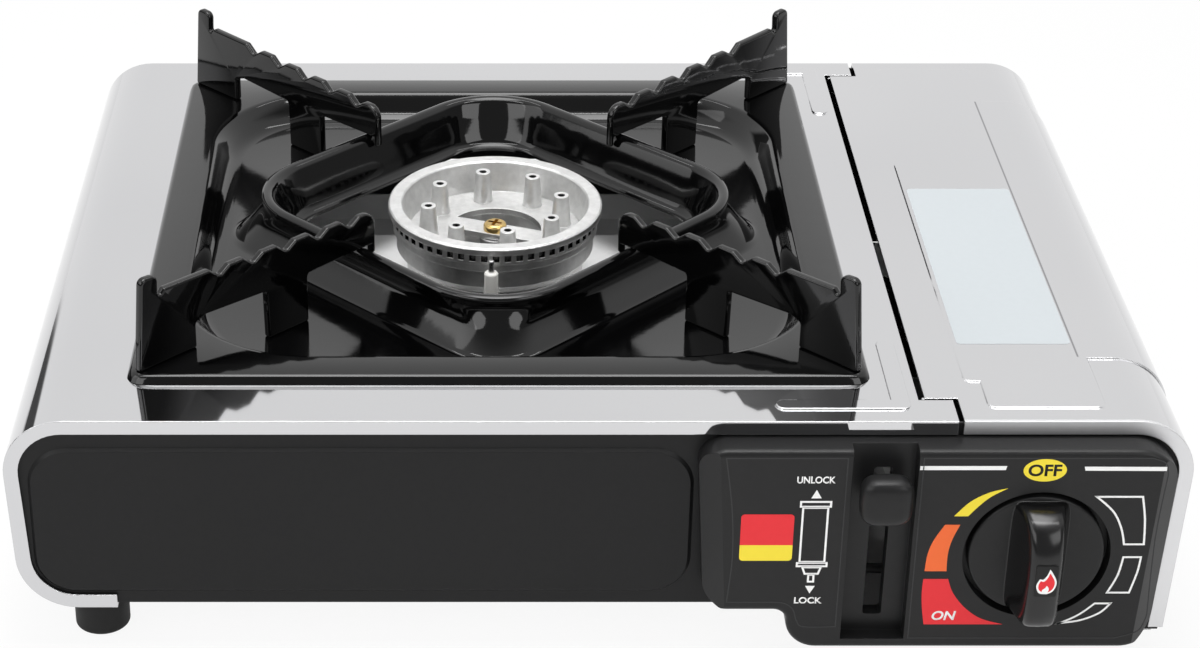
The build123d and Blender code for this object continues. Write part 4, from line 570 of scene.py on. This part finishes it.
# Paints, plastics, rubbers and glaze: roughness from and to, grain scale and strength
paints = {
    "paleZinc": {"colour": (0.8, 0.8, 0.8), "spread": 1.04, "rough": (0.45, 0.6), "grain": (900.0, 0.05)},
    "blackPaint": {
        "colour": (0.0095, 0.0095, 0.0098), "spread": 1.12, "rough": (0.4, 0.46), "grain": (2600.0, 0.06),
        "gloss": 0.22,
    },
    "blackPlastic": {
        "colour": (0.0105, 0.0105, 0.0108), "spread": 1.12, "rough": (0.34, 0.4), "grain": (1900.0, 0.08),
        "gloss": 0.28,
    },
    "glossPlastic": {
        "colour": (0.006, 0.006, 0.0062), "spread": 1.2, "rough": (0.16, 0.22), "grain": (1500.0, 0.03),
        "gloss": 0.45, "edge": 0.6 * mm,
    },
    "whiteCeramic": {
        "colour": (0.74, 0.73, 0.7), "spread": 1.06, "rough": (0.14, 0.26), "grain": (700.0, 0.08),
    },
    "blackRubber": {
        "colour": (0.01, 0.01, 0.01), "spread": 1.3, "rough": (0.6, 0.76), "grain": (1200.0, 0.3),
        "gloss": 0.3,
    },
    "greyRubber": {
        "colour": (0.12, 0.12, 0.12), "spread": 1.2, "rough": (0.6, 0.75), "grain": (1200.0, 0.3),
    },
    "leadJacket": {
        "colour": (0.012, 0.012, 0.012), "spread": 1.3, "rough": (0.38, 0.5), "grain": (1600.0, 0.12),
    },
}

finishes = {
    "polishedSteel": makePolishedSteel("polishedSteel", polish),
    "lidSteel": makePolishedSteel("lidSteel", polish, brushed=lidEdge),
    "blackEnamel": makeEnamel("blackEnamel", enamel, edge=0.9 * mm),
    "panEnamel": makeEnamel("panEnamel", enamel, edge=0.0),
    "castAluminium": makeCasting(
        "castAluminium", casting, colour=(0.66, 0.66, 0.655), bright=(0.76, 0.76, 0.755), shadeReach=3.5 * mm,
    ),
    "zincCasting": makeCasting(
        "zincCasting", casting, colour=(0.4, 0.4, 0.41), bright=(0.47, 0.47, 0.48), shadeReach=3.0 * mm,
    ),
}
for metalName, metal in streakedMetals.items():
    finishes[metalName] = makeStreaked(metalName, metal)
for paintName, paint in paints.items():
    finishes[paintName] = makePaint(paintName, **paint)

finishOfSlot = {
    "polished_steel": "polishedSteel",
    "plain_steel": "plainSteel",
    "black_paint": "blackPaint",
    "black_enamel": "blackEnamel",
    "black_plastic": "blackPlastic",
    "cast_aluminium": "castAluminium",
    "zinc_casting": "zincCasting",
    "brass": "brass",
    "white_ceramic": "whiteCeramic",
    "black_rubber": "blackRubber",
    "grey_rubber": "greyRubber",
    "lead_jacket": "leadJacket",
}
ownFinish = {
    "cartridge_lid": "lidSteel",
    "control_knob": "glossPlastic",
    "burner_bracket": "paleZinc",
    "base_plate": "paleZinc",
}


def dressNodes():
    slotOfNode = {entry["node"]: entry["material_slot"] for entry in frame["record"]["subparts"]}
    for name, node in nodes.items():
        finishName = ownFinish.get(name) or finishOfSlot[slotOfNode[name]]
        node.data.materials.clear()
        node.data.materials.append(finishes[finishName])


dressNodes()
print("finishes on", len(nodes), "nodes")

inks = {
    "white": makeInk("whiteInk", (0.93, 0.93, 0.92)),
    "yellow": makeInk("yellowInk", (0.92, 0.74, 0.05)),
    "orange": makeInk("orangeInk", (0.9, 0.16, 0.04)),
    "red": makeInk("redInk", (0.8, 0.033, 0.042)),
    "black": makeInk("blackInk", (0.012, 0.012, 0.012)),
    "line": makeInk("edgeLine", (0.035, 0.035, 0.036)),
    "paleFilm": makeInk("paleFilm", (0.5, 0.535, 0.555), 0.35),
}

# Modelling helpers: the merge distance in metres, the smoothing angle in degrees
mergeGap = 1e-6
smoothBelow = 40


def clearSelection():
    bpy.ops.object.select_all(action="DESELECT")


def selectOnly(piece):
    clearSelection()
    piece.select_set(True)
    bpy.context.view_layer.objects.active = piece


def editAll():
    bpy.ops.object.mode_set(mode="EDIT")
    bpy.ops.mesh.select_all(action="SELECT")


def faceOutwards():
    # Ends an edit with every face turned outwards
    bpy.ops.mesh.select_all(action="SELECT")
    bpy.ops.mesh.normals_make_consistent(inside=False)
    bpy.ops.object.mode_set(mode="OBJECT")


def joinAll(name, pieces):
    clearSelection()
    for piece in pieces:
        piece.select_set(True)
    bpy.context.view_layer.objects.active = pieces[0]
    if len(pieces) > 1:
        bpy.ops.object.join()
    whole = bpy.context.object
    whole.name = name
    return whole


def smoothSide(points, steps=7):
    # A soft line through the given points
    if len(points) < 3:
        return list(points)
    ends = [Vector(point) for point in (points[0], *points, points[-1])]
    line = []
    for before, start, end, after in zip(ends, ends[1:], ends[2:], ends[3:]):
        for step in range(steps):
            t = step / steps
            bend = (end - before) * t + (2 * before - 5 * start + 4 * end - after) * t * t
            bend += (3 * start - before - 3 * end + after) * t * t * t
            line.append(tuple(start + bend / 2))
    return line + [tuple(points[-1])]


def applyPlace(piece):
    selectOnly(piece)
    bpy.ops.object.transform_apply(location=True, rotation=True, scale=True)


def standUp(piece, planeY):
    # Drawn flat, then stood up so that it faces the front
    piece.rotation_euler = (math.pi / 2, 0, 0)
    piece.location = (0, planeY, 0)
    applyPlace(piece)


# Printed films and words: thin sheets that sink a little into the face under them. Points of an
# outline, in millimetres, that lie closer than the gap are taken as one
filmThickness = 0.07 * mm
filmSink = 0.02 * mm
pointGap = 0.02
wordWeight = 0.026
wordSteps = 6


def thicken():
    bpy.ops.mesh.extrude_region_move(TRANSFORM_OT_translate={"value": (0, 0, filmThickness + filmSink)})
    faceOutwards()


def drawFilm(name, sides, frameWidth=None):
    outline = []
    for side in sides:
        for point in smoothSide(side):
            if not outline or (Vector(point) - Vector(outline[-1])).length > pointGap:
                outline.append(point)
    if (Vector(outline[0]) - Vector(outline[-1])).length < pointGap:
        outline.pop()
    clearSelection()
    bpy.ops.mesh.primitive_circle_add(vertices=len(outline), radius=mm, fill_type="NGON")
    piece = bpy.context.object
    piece.name = name
    for vertex, (across, up) in zip(piece.data.vertices, outline):
        vertex.co = (across * mm, up * mm, 0)
    editAll()
    bpy.ops.mesh.normals_make_consistent(inside=False)
    if frameWidth:
        bpy.ops.mesh.inset(thickness=frameWidth * mm)
        bpy.ops.mesh.delete(type="FACE")
        bpy.ops.mesh.select_all(action="SELECT")
    thicken()
    return piece


def drawWord(name, text, middle, size, shear=0.0):
    clearSelection()
    bpy.ops.object.text_add()
    piece = bpy.context.object
    piece.name = name
    piece.data.body = text
    piece.data.align_x = "CENTER"
    piece.data.align_y = "CENTER"
    piece.data.shear = shear
    piece.data.offset = wordWeight
    piece.data.resolution_u = wordSteps
    bpy.ops.object.convert(target="MESH")
    low = [min(vertex.co[axis] for vertex in piece.data.vertices) for axis in (0, 1)]
    high = [max(vertex.co[axis] for vertex in piece.data.vertices) for axis in (0, 1)]
    scale = [size[axis] * mm / (high[axis] - low[axis]) for axis in (0, 1)]
    for vertex in piece.data.vertices:
        for axis in (0, 1):
            centred = vertex.co[axis] - (low[axis] + high[axis]) / 2
            vertex.co[axis] = centred * scale[axis] + middle[axis] * mm
    editAll()
    thicken()
    return piece


def joinFilms(name, films, ink, body):
    piece = joinAll(name, films)
    piece.data.materials.clear()
    piece.data.materials.append(inks[ink])
    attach(piece, body)


def straight(*corners):
    return [[corner] for corner in corners]


# Printed marks on the control panel, in millimetres across and up
panelMarks = {
    "frameWidth": 0.58,
    "lineWidth": 0.35,
    "white": {
        "barLeft": straight((89.8, 68.9), (114.2, 68.9), (113.9, 67.6), (89.8, 67.6)),
        "barRight": straight((136.0, 68.7), (159.2, 68.6), (159.2, 67.3), (136.3, 67.4)),
        "arrowUp": straight((61.2, 61.0), (59.8, 58.2), (62.7, 58.2)),
        "arrowDown": straight((61.2, 25.8), (59.8, 28.4), (62.6, 28.4)),
    },
    "whiteFrames": {
        "largeBlock": [
            [(139.8, 59.0), (153.8, 59.0)],
            [(153.8, 59.0), (155.3, 51.1), (156.0, 42.4)],
            [(156.0, 42.4), (149.8, 42.4)],
            [(149.8, 42.4), (148.4, 47.9), (145.5, 53.6), (139.8, 59.0)],
        ],
        "mediumBlock": [
            [(150.1, 38.6), (155.7, 38.6)],
            [(155.7, 38.6), (155.2, 33.0), (153.6, 25.8)],
            [(153.6, 25.8), (146.6, 25.8)],
            [(146.6, 25.8), (149.1, 32.1), (150.1, 38.6)],
        ],
        "smallBlock": [
            [(143.8, 22.6), (149.0, 22.6)],
            [(149.0, 22.6), (145.8, 18.8), (140.1, 16.1), (133.0, 15.0)],
            [(133.0, 15.0), (139.2, 18.4), (143.8, 22.6)],
        ],
        "canLid": straight((56.7, 57.3), (65.8, 57.3), (65.8, 55.1), (56.7, 55.1)),
        "canBody": straight((57.4, 55.3), (65.1, 55.3), (65.1, 36.4), (57.4, 36.4)),
        "canPlate": straight((56.7, 36.6), (65.8, 36.6), (65.8, 34.9), (56.7, 34.9)),
        "canNeck": straight((58.2, 35.1), (64.3, 35.1), (63.4, 32.3), (59.2, 32.3)),
        "canValve": straight((60.2, 32.5), (62.3, 32.5), (62.3, 29.6), (60.2, 29.6)),
    },
    "yellow": {
        "flameLow": [
            [(115.1, 61.5), (110.1, 60.1), (104.9, 57.0), (100.7, 52.2)],
            [(100.7, 52.2), (104.7, 52.2)],
            [(104.7, 52.2), (107.3, 55.4), (110.6, 58.7), (115.1, 61.5)],
        ],
    },
    "orange": {
        "flameMiddle": [
            [(98.4, 49.3), (102.7, 49.3)],
            [(102.7, 49.3), (100.8, 44.1), (100.0, 39.2), (100.1, 33.5)],
            [(100.1, 33.5), (93.8, 33.5)],
            [(93.8, 33.5), (94.2, 39.2), (95.6, 44.1), (98.4, 49.3)],
        ],
    },
    "red": {
        "flameHigh": [
            [(93.7, 30.8), (100.8, 30.8)],
            [(100.8, 30.8), (102.6, 26.0), (106.3, 21.0), (111.3, 17.1), (117.9, 15.0)],
            [(117.9, 15.0), (95.0, 15.0)],
            [(95.0, 15.0), (94.1, 20.5), (93.6, 26.0), (93.7, 30.8)],
        ],
    },
    "lines": {
        "leftPlate": [
            [(35.0, 71.6), (69.6, 71.6)],
            [(69.6, 71.6), (69.6, 14.0)],
            [(69.6, 14.0), (60.0, 14.0), (57.8, 16.2), (56.6, 20.0), (54.0, 22.2), (50.0, 22.6)],
            [(50.0, 22.6), (37.2, 22.6)],
            [(37.2, 22.6), (38.2, 38.1), (37.4, 54.4), (35.0, 71.6)],
        ],
        "rightPlate": [
            [(90.6, 71.6), (155.0, 71.6)],
            [(155.0, 71.6), (159.0, 69.8), (160.0, 66.0)],
            [(160.0, 66.0), (158.9, 45.0), (159.6, 18.0)],
            [(159.6, 18.0), (157.6, 12.6), (151.0, 10.0)],
            [(151.0, 10.0), (90.6, 10.0)],
        ],
    },
    "offOval": {"middle": (125.0, 67.5), "half": (6.1, 3.7), "steps": 48},
    "words": {
        "wordUnlock": {"text": "UNLOCK", "middle": (60.9, 64.3), "size": (10.9, 2.3), "ink": "white"},
        "wordLock": {"text": "LOCK", "middle": (60.9, 23.4), "size": (8.0, 2.2), "ink": "white"},
        "wordOn": {"text": "ON", "middle": (100.6, 18.1), "size": (7.0, 3.2), "ink": "white", "shear": 0.18},
        "wordOff": {"text": "OFF", "middle": (125.0, 67.5), "size": (9.4, 3.9), "ink": "black"},
    },
}


def printPanel(settings):
    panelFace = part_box("control_panel")[0].y + filmSink
    films = {ink: [] for ink in ("white", "yellow", "orange", "red", "black", "line")}
    for ink in ("white", "yellow", "orange", "red"):
        for name, sides in settings[ink].items():
            films[ink].append(drawFilm(name, sides))
    for name, sides in settings["whiteFrames"].items():
        films["white"].append(drawFilm(name, sides, settings["frameWidth"]))
    for name, sides in settings["lines"].items():
        films["line"].append(drawFilm(name, sides, settings["lineWidth"]))
    oval = settings["offOval"]
    turns = [2 * math.pi * step / oval["steps"] for step in range(oval["steps"])]
    middle, half = Vector(oval["middle"]), Vector(oval["half"])
    ring = [tuple(middle + half * Vector((math.cos(turn), math.sin(turn)))) for turn in turns]
    films["yellow"].append(drawFilm("offOval", straight(*ring)))
    # These two words lie on a printed mark, half a film higher
    layered = {"wordOn": filmThickness / 2, "wordOff": filmThickness / 2}
    for name, word in settings["words"].items():
        piece = drawWord(name, word["text"], word["middle"], word["size"], word.get("shear", 0.0))
        standUp(piece, panelFace - layered.get(name, 0.0))
        films[word["ink"]].append(piece)
    for ink, pieces in films.items():
        for piece in pieces:
            if not piece.name.startswith("word"):
                standUp(piece, panelFace)
        joinFilms("panel_print_" + ink, pieces, ink, "case")


printPanel(panelMarks)
print("control panel printed")

# Plain two-tone sticker beside the lever, and a bare pale label on the lid
stickers = {
    "badgeTop": [(40.3, 52.8), (55.4, 52.8), (55.4, 42.4), (40.3, 42.4)],
    "badgeFoot": [(40.3, 42.4), (55.4, 42.4), (55.4, 37.1), (40.3, 37.1)],
    "cornerRound": 1.1,
    "lidLow": (107.5, -72.5),
    "lidHigh": (141.3, 33.0),
    "lidRound": 1.5,
}
cornerSteps = 6
sameSpot = 1e-5
uprightWithin = 1e-7


def roundCorners(piece, places, radius):
    selectOnly(piece)
    bpy.ops.object.mode_set(mode="EDIT")
    bpy.ops.mesh.select_all(action="DESELECT")
    bpy.ops.mesh.select_mode(type="EDGE")
    bpy.ops.object.mode_set(mode="OBJECT")
    for edge in piece.data.edges:
        start, end = (piece.data.vertices[index].co for index in edge.vertices)
        upright = (start.xy - end.xy).length < uprightWithin
        edge.select = upright and any((start.xy - Vector(place) * mm).length < sameSpot for place in places)
    bpy.ops.object.mode_set(mode="EDIT")
    bpy.ops.mesh.bevel(offset=radius * mm, segments=cornerSteps, affect="EDGES")
    bpy.ops.object.mode_set(mode="OBJECT")


def addStickers(settings):
    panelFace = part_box("control_panel")[0].y + filmSink
    top = drawFilm("badgeTop", straight(*settings["badgeTop"]))
    roundCorners(top, settings["badgeTop"][:2], settings["cornerRound"])
    foot = drawFilm("badgeFoot", straight(*settings["badgeFoot"]))
    roundCorners(foot, settings["badgeFoot"][2:], settings["cornerRound"])
    for piece, ink in ((top, "red"), (foot, "yellow")):
        standUp(piece, panelFace)
        joinFilms("sticker_" + ink, [piece], ink, "case")
    lowX, lowY = settings["lidLow"]
    highX, highY = settings["lidHigh"]
    corners = [(lowX, lowY), (highX, lowY), (highX, highY), (lowX, highY)]
    label = drawFilm("lidLabel", straight(*corners))
    roundCorners(label, corners, settings["lidRound"])
    label.location = (0, 0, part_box("cartridge_lid")[1].z - filmSink)
    applyPlace(label)
    joinFilms("lid_label", [label], "paleFilm", "lid")


addStickers(stickers)
print("stickers placed")

# Control knob: a turned disc with its hub, and a tall soft grip across it
knobShape = {
    "turns": 96,
    "discDepth": 3.6,
    "discRound": 0.9,
    "roundSteps": 6,
    "hubRadius": 5.0,
    "holeRadius": 3.05,
    "gripHalf": (5.3, 18.2),
    "gripSink": 0.5,
    "gripShort": 0.35,
    "crossPower": 5.0,
    "topPower": 2.5,
    "lowPower": 5.0,
    "flare": 3.3,
    "flarePower": 2.6,
    "taperPower": 8,
    "steps": 16,
    "mergeGap": 1e-7,
}
footCrowding = 3


def softQuarter(power, steps):
    # A quarter of a soft rectangle, from its foot to its crown, with most points near the foot
    turns = [math.pi / 2 * (step / steps) ** footCrowding for step in range(steps + 1)]
    return [(abs(math.cos(turn)) ** (2 / power), abs(math.sin(turn)) ** (2 / power)) for turn in turns]


def mirrorQuarter(first, second):
    return first + [(-flat, rise) for flat, rise in reversed(second[:-1])]


def selectOpenEdges():
    bpy.ops.mesh.select_all(action="DESELECT")
    bpy.ops.mesh.select_mode(type="EDGE")
    bpy.ops.mesh.select_non_manifold()


def turnDisc(settings, middle, face, back):
    radius = (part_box("control_knob")[1].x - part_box("control_knob")[0].x) / 2
    soft = settings["discRound"] * mm
    rear = face + settings["discDepth"] * mm
    hub, hole = settings["hubRadius"] * mm, settings["holeRadius"] * mm
    profile = [(0, face), (radius - 2 * soft, face)]
    for step in range(settings["roundSteps"] + 1):
        turn = math.pi / 2 * step / settings["roundSteps"]
        profile.append((radius - soft + soft * math.sin(turn), face + soft - soft * math.cos(turn)))
    profile += [(radius, rear), (hub, rear), (hub, back), (hole, back), (hole, rear), (0, rear)]
    clearSelection()
    bpy.ops.mesh.primitive_circle_add(vertices=len(profile), radius=mm)
    disc = bpy.context.object
    disc.name = "knobDisc"
    for vertex, (out, depth) in zip(disc.data.vertices, profile):
        vertex.co = (middle.x + out, depth, middle.z)
    editAll()
    bpy.ops.mesh.spin(steps=settings["turns"], angle=2 * math.pi, center=middle, axis=(0, 1, 0))
    bpy.ops.mesh.select_all(action="SELECT")
    bpy.ops.mesh.remove_doubles(threshold=mergeGap)
    bpy.ops.mesh.delete_loose()
    faceOutwards()
    disc.data.materials.append(finishes["blackPlastic"])
    return disc


def shapeGrip(settings, middle, face, front):
    steps = settings["steps"]
    halfWidth, halfLength = (value * mm for value in settings["gripHalf"])
    foot = face + settings["gripSink"] * mm
    proud = foot - front - settings["gripShort"] * mm
    quarter = softQuarter(settings["crossPower"], steps)
    across = mirrorQuarter(quarter, quarter)
    along = mirrorQuarter(softQuarter(settings["topPower"], steps), softQuarter(settings["lowPower"], steps))
    clearSelection()
    bpy.ops.mesh.primitive_grid_add(x_subdivisions=len(across) - 1, y_subdivisions=len(along) - 1)
    grip = bpy.context.object
    grip.name = "knobGrip"
    places = [(side, rise, up, crown) for up, crown in along for side, rise in across]
    taperPower = settings["taperPower"]
    for vertex, (side, rise, up, crown) in zip(grip.data.vertices, places):
        height = rise * crown
        taper = max(0.0, 1 - abs(up) ** taperPower) ** (1 / taperPower)
        width = halfWidth + settings["flare"] * mm * (1 - height) ** settings["flarePower"]
        vertex.co = (middle.x + side * taper * width, foot - proud * height, middle.z + up * halfLength)
    editAll()
    bpy.ops.mesh.remove_doubles(threshold=settings["mergeGap"])
    selectOpenEdges()
    bpy.ops.mesh.edge_face_add()
    faceOutwards()
    grip.data.materials.append(finishes["glossPlastic"])
    return grip


def joinPieces(name, pieces, body, node):
    whole = joinAll(name, pieces)
    bpy.ops.object.shade_smooth_by_angle(angle=math.radians(smoothBelow))
    applyPlace(whole)
    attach(whole, body)
    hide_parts(node)


def addKnob(settings):
    low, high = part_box("control_knob")
    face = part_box("control_panel")[0].y
    middle = Vector(((low.x + high.x) / 2, 0, (low.z + high.z) / 2))
    disc = turnDisc(settings, middle, face, high.y)
    grip = shapeGrip(settings, middle, face, low.y)
    joinPieces("knob_soft", [disc, grip], "knob", "control_knob")


addKnob(knobShape)
print("knob shaped")

# Sign on the front of the grip: a thin black plate with a small flame, about the plate's own middle
flameSign = {
    "lift": 0.8,
    "plate": straight((-3.1, -5.0), (3.1, -5.0), (3.1, 5.0), (-3.1, 5.0)),
    "plateDepth": 0.9,
    "plateRound": 0.5,
    "white": [
        [(0.7, 4.2), (1.8, 2.5), (2.8, 0.3), (2.7, -1.8), (1.8, -3.4), (0.4, -4.1)],
        [(0.4, -4.1), (-1.6, -3.9), (-2.5, -2.6), (-2.7, -0.9), (-1.9, 0.9)],
        [(-1.9, 0.9), (-1.0, 0.7)],
        [(-1.0, 0.7), (-0.4, 1.4), (0.2, 2.6), (0.7, 4.2)],
    ],
    "red": [
        [(0.8, 2.9), (1.5, 1.8), (2.3, 0.1), (2.2, -1.7), (1.5, -2.9), (0.6, -3.5)],
        [(0.6, -3.5), (0.9, -2.7), (0.7, -1.9), (0.2, -1.2)],
        [(0.2, -1.2), (-0.2, -2.0), (-0.9, -2.6), (-1.1, -3.4)],
        [(-1.1, -3.4), (-2.0, -2.4), (-2.1, -0.9), (-1.6, 0.3)],
        [(-1.6, 0.3), (-0.7, 0.1), (0.2, 1.2), (0.8, 2.9)],
    ],
}


def addFlameSign(settings):
    low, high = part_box("control_knob")
    middle = ((low.x + high.x) / 2 / mm, (low.z + high.z) / 2 / mm + settings["lift"])

    def placed(sides):
        return [[(middle[0] + across, middle[1] + up) for across, up in side] for side in sides]

    plate = drawFilm("signPlate", placed(settings["plate"]))
    for vertex in plate.data.vertices:
        vertex.co.z *= settings["plateDepth"] * mm / (filmThickness + filmSink)
    roundCorners(plate, [side[0] for side in placed(settings["plate"])], settings["plateRound"])
    front = low.y + 2 * filmThickness
    standUp(plate, front + settings["plateDepth"] * mm)
    joinFilms("sign_plate", [plate], "black", "knob")
    for ink, lift in (("white", 0.0), ("red", filmThickness / 2)):
        piece = drawFilm("flame_" + ink, placed(settings[ink]))
        standUp(piece, front + filmSink - lift)
        joinFilms("flame_sign_" + ink, [piece], ink, "knob")


addFlameSign(flameSign)
print("flame sign on the knob")

# Lever knob: a soft cushion on the end of the lever
leverShape = {"power": 3.4, "segments": 64, "rings": 48}


def addLeverKnob(settings):
    low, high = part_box("lever_knob")
    middle, half = (low + high) / 2, (high - low) / 2
    power = settings["power"]
    clearSelection()
    segments, rings = settings["segments"], settings["rings"]
    bpy.ops.mesh.primitive_uv_sphere_add(segments=segments, ring_count=rings, radius=1)
    cushion = bpy.context.object
    for vertex in cushion.data.vertices:
        reach = sum(abs(vertex.co[axis] / half[axis]) ** power for axis in range(3)) ** (1 / power)
        vertex.co = middle + vertex.co / reach
    cushion.data.materials.append(finishes["blackPlastic"])
    joinPieces("lever_cushion", [cushion], "lever", "lever_knob")


addLeverKnob(leverShape)
print("lever knob shaped")

# Drip pan: one pressed sheet, drawn as rounded squares about the burner, from the skirt in to the throat,
# each with its half width, corner and height
panShape = {
    "rays": 540,
    "sheet": 0.9,
    "skirtLow": 78.42,
    "skirtHalf": 100,
    "leastCorner": 0.5,
    "square": [
        (107.8, 5.0, 78.42), (107.3, 5.0, 79.6), (106.9, 5.0, 80.3), (106.4, 5.0, 80.7), (105.7, 5.0, 80.9),
        (96.4, 41.9, 80.9), (95.6, 41.1, 80.84), (94.9, 40.4, 80.6), (94.3, 39.8, 80.1), (92.4, 37.9, 77.2),
        (91.4, 36.9, 75.7), (90.4, 35.9, 74.6), (89.2, 34.7, 73.7), (87.7, 33.2, 73.1), (86.0, 31.5, 72.9),
    ],
    "diamond": [
        (66.6, 20.7, 72.9), (65.6, 19.7, 73.02), (64.7, 18.8, 73.4), (63.9, 18.0, 74.1), (59.5, 13.6, 79.3),
        (58.9, 13.4, 80.2), (58.6, 14.2, 81.2), (58.6, 16.6, 82.4), (58.9, 20.4, 84.0), (59.5, 23.8, 85.2),
        (60.3, 26.0, 86.2), (61.0, 27.3, 87.1), (61.3, 27.8, 88.0), (61.0, 27.5, 88.7), (60.3, 26.9, 89.15),
        (59.4, 26.1, 89.3), (58.4, 25.2, 89.1), (57.6, 24.5, 88.5), (57.0, 24.0, 87.5), (55.4, 22.6, 83.0),
        (53.8, 21.3, 78.6), (53.0, 20.6, 76.6), (52.4, 20.1, 75.5), (51.7, 19.5, 74.7), (50.9, 18.9, 74.25),
        (49.9, 18.2, 74.1),
    ],
}


def roundedReach(half, corner, turn):
    # How far a rounded square reaches from its middle at a turn
    turn %= math.pi / 2
    turn = min(turn, math.pi / 2 - turn)
    inner = half - corner
    if half * math.tan(turn) <= inner:
        return half / math.cos(turn)
    along = inner * (math.cos(turn) + math.sin(turn))
    return along + math.sqrt(max(0.0, along * along - 2 * inner * inner + corner * corner))


def undersideOf(profile, settings):
    under = []
    for index, (half, corner, height, quarter) in enumerate(profile):
        before = profile[max(index - 1, 0)]
        after = profile[min(index + 1, len(profile) - 1)]
        run = Vector((after[0] - before[0], after[2] - before[2])).normalized()
        shift = Vector((run.y, -run.x)) * settings["sheet"]
        low = height - shift.y
        if half > settings["skirtHalf"]:
            low = max(low, settings["skirtLow"])
        under.append((half - shift.x, max(corner - shift.x, settings["leastCorner"]), low, quarter))
    return under[::-1]


def addDripPan(settings):
    low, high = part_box("drip_pan")
    middle = (low + high) / 2
    profile = [(*point, 0.0) for point in settings["square"]]
    profile += [(*point, math.pi / 4) for point in settings["diamond"]]
    profile += undersideOf(profile, settings)
    rays = settings["rays"]
    clearSelection()
    bpy.ops.mesh.primitive_grid_add(x_subdivisions=len(profile), y_subdivisions=rays)
    pan = bpy.context.object
    for index, vertex in enumerate(pan.data.vertices):
        ray, row = divmod(index, len(profile) + 1)
        half, corner, height, quarter = profile[row % len(profile)]
        turn = 2 * math.pi * (ray % rays) / rays
        reach = roundedReach(half, corner, turn - quarter) * mm
        vertex.co = (middle.x + reach * math.cos(turn), middle.y + reach * math.sin(turn), height * mm)
    editAll()
    bpy.ops.mesh.remove_doubles(threshold=mergeGap)
    faceOutwards()
    pan.data.materials.append(finishes["panEnamel"])
    joinPieces("pan_pressing", [pan], "pan", "drip_pan")


addDripPan(panShape)
print("drip pan pressed")

# Pot supports: the toothed plates with the round edges that thick enamel leaves
supportShape = {"edge": 1.05, "steps": 4, "flat": 1.0, "sharp": 50.0}


def softenSupport(name, settings):
    plate = bpy.data.objects.new(name + "_soft", nodes[name].data.copy())
    bpy.context.collection.objects.link(plate)
    selectOnly(plate)
    editAll()
    bpy.ops.mesh.remove_doubles(threshold=mergeGap)
    bpy.ops.mesh.dissolve_limited(angle_limit=math.radians(settings["flat"]))
    bpy.ops.object.mode_set(mode="OBJECT")
    bevel = plate.modifiers.new("softEdge", "BEVEL")
    bevel.width = settings["edge"] * mm
    bevel.segments = settings["steps"]
    bevel.limit_method = "ANGLE"
    bevel.angle_limit = math.radians(settings["sharp"])
    bpy.ops.object.modifier_apply(modifier=bevel.name)
    plate.data.materials.clear()
    plate.data.materials.append(finishes["panEnamel"])
    joinPieces(plate.name, [plate], "pan", name)


for supportName in sorted(name for name in nodes if name.startswith("pot_support")):
    softenSupport(supportName, supportShape)
print("pot supports rounded")
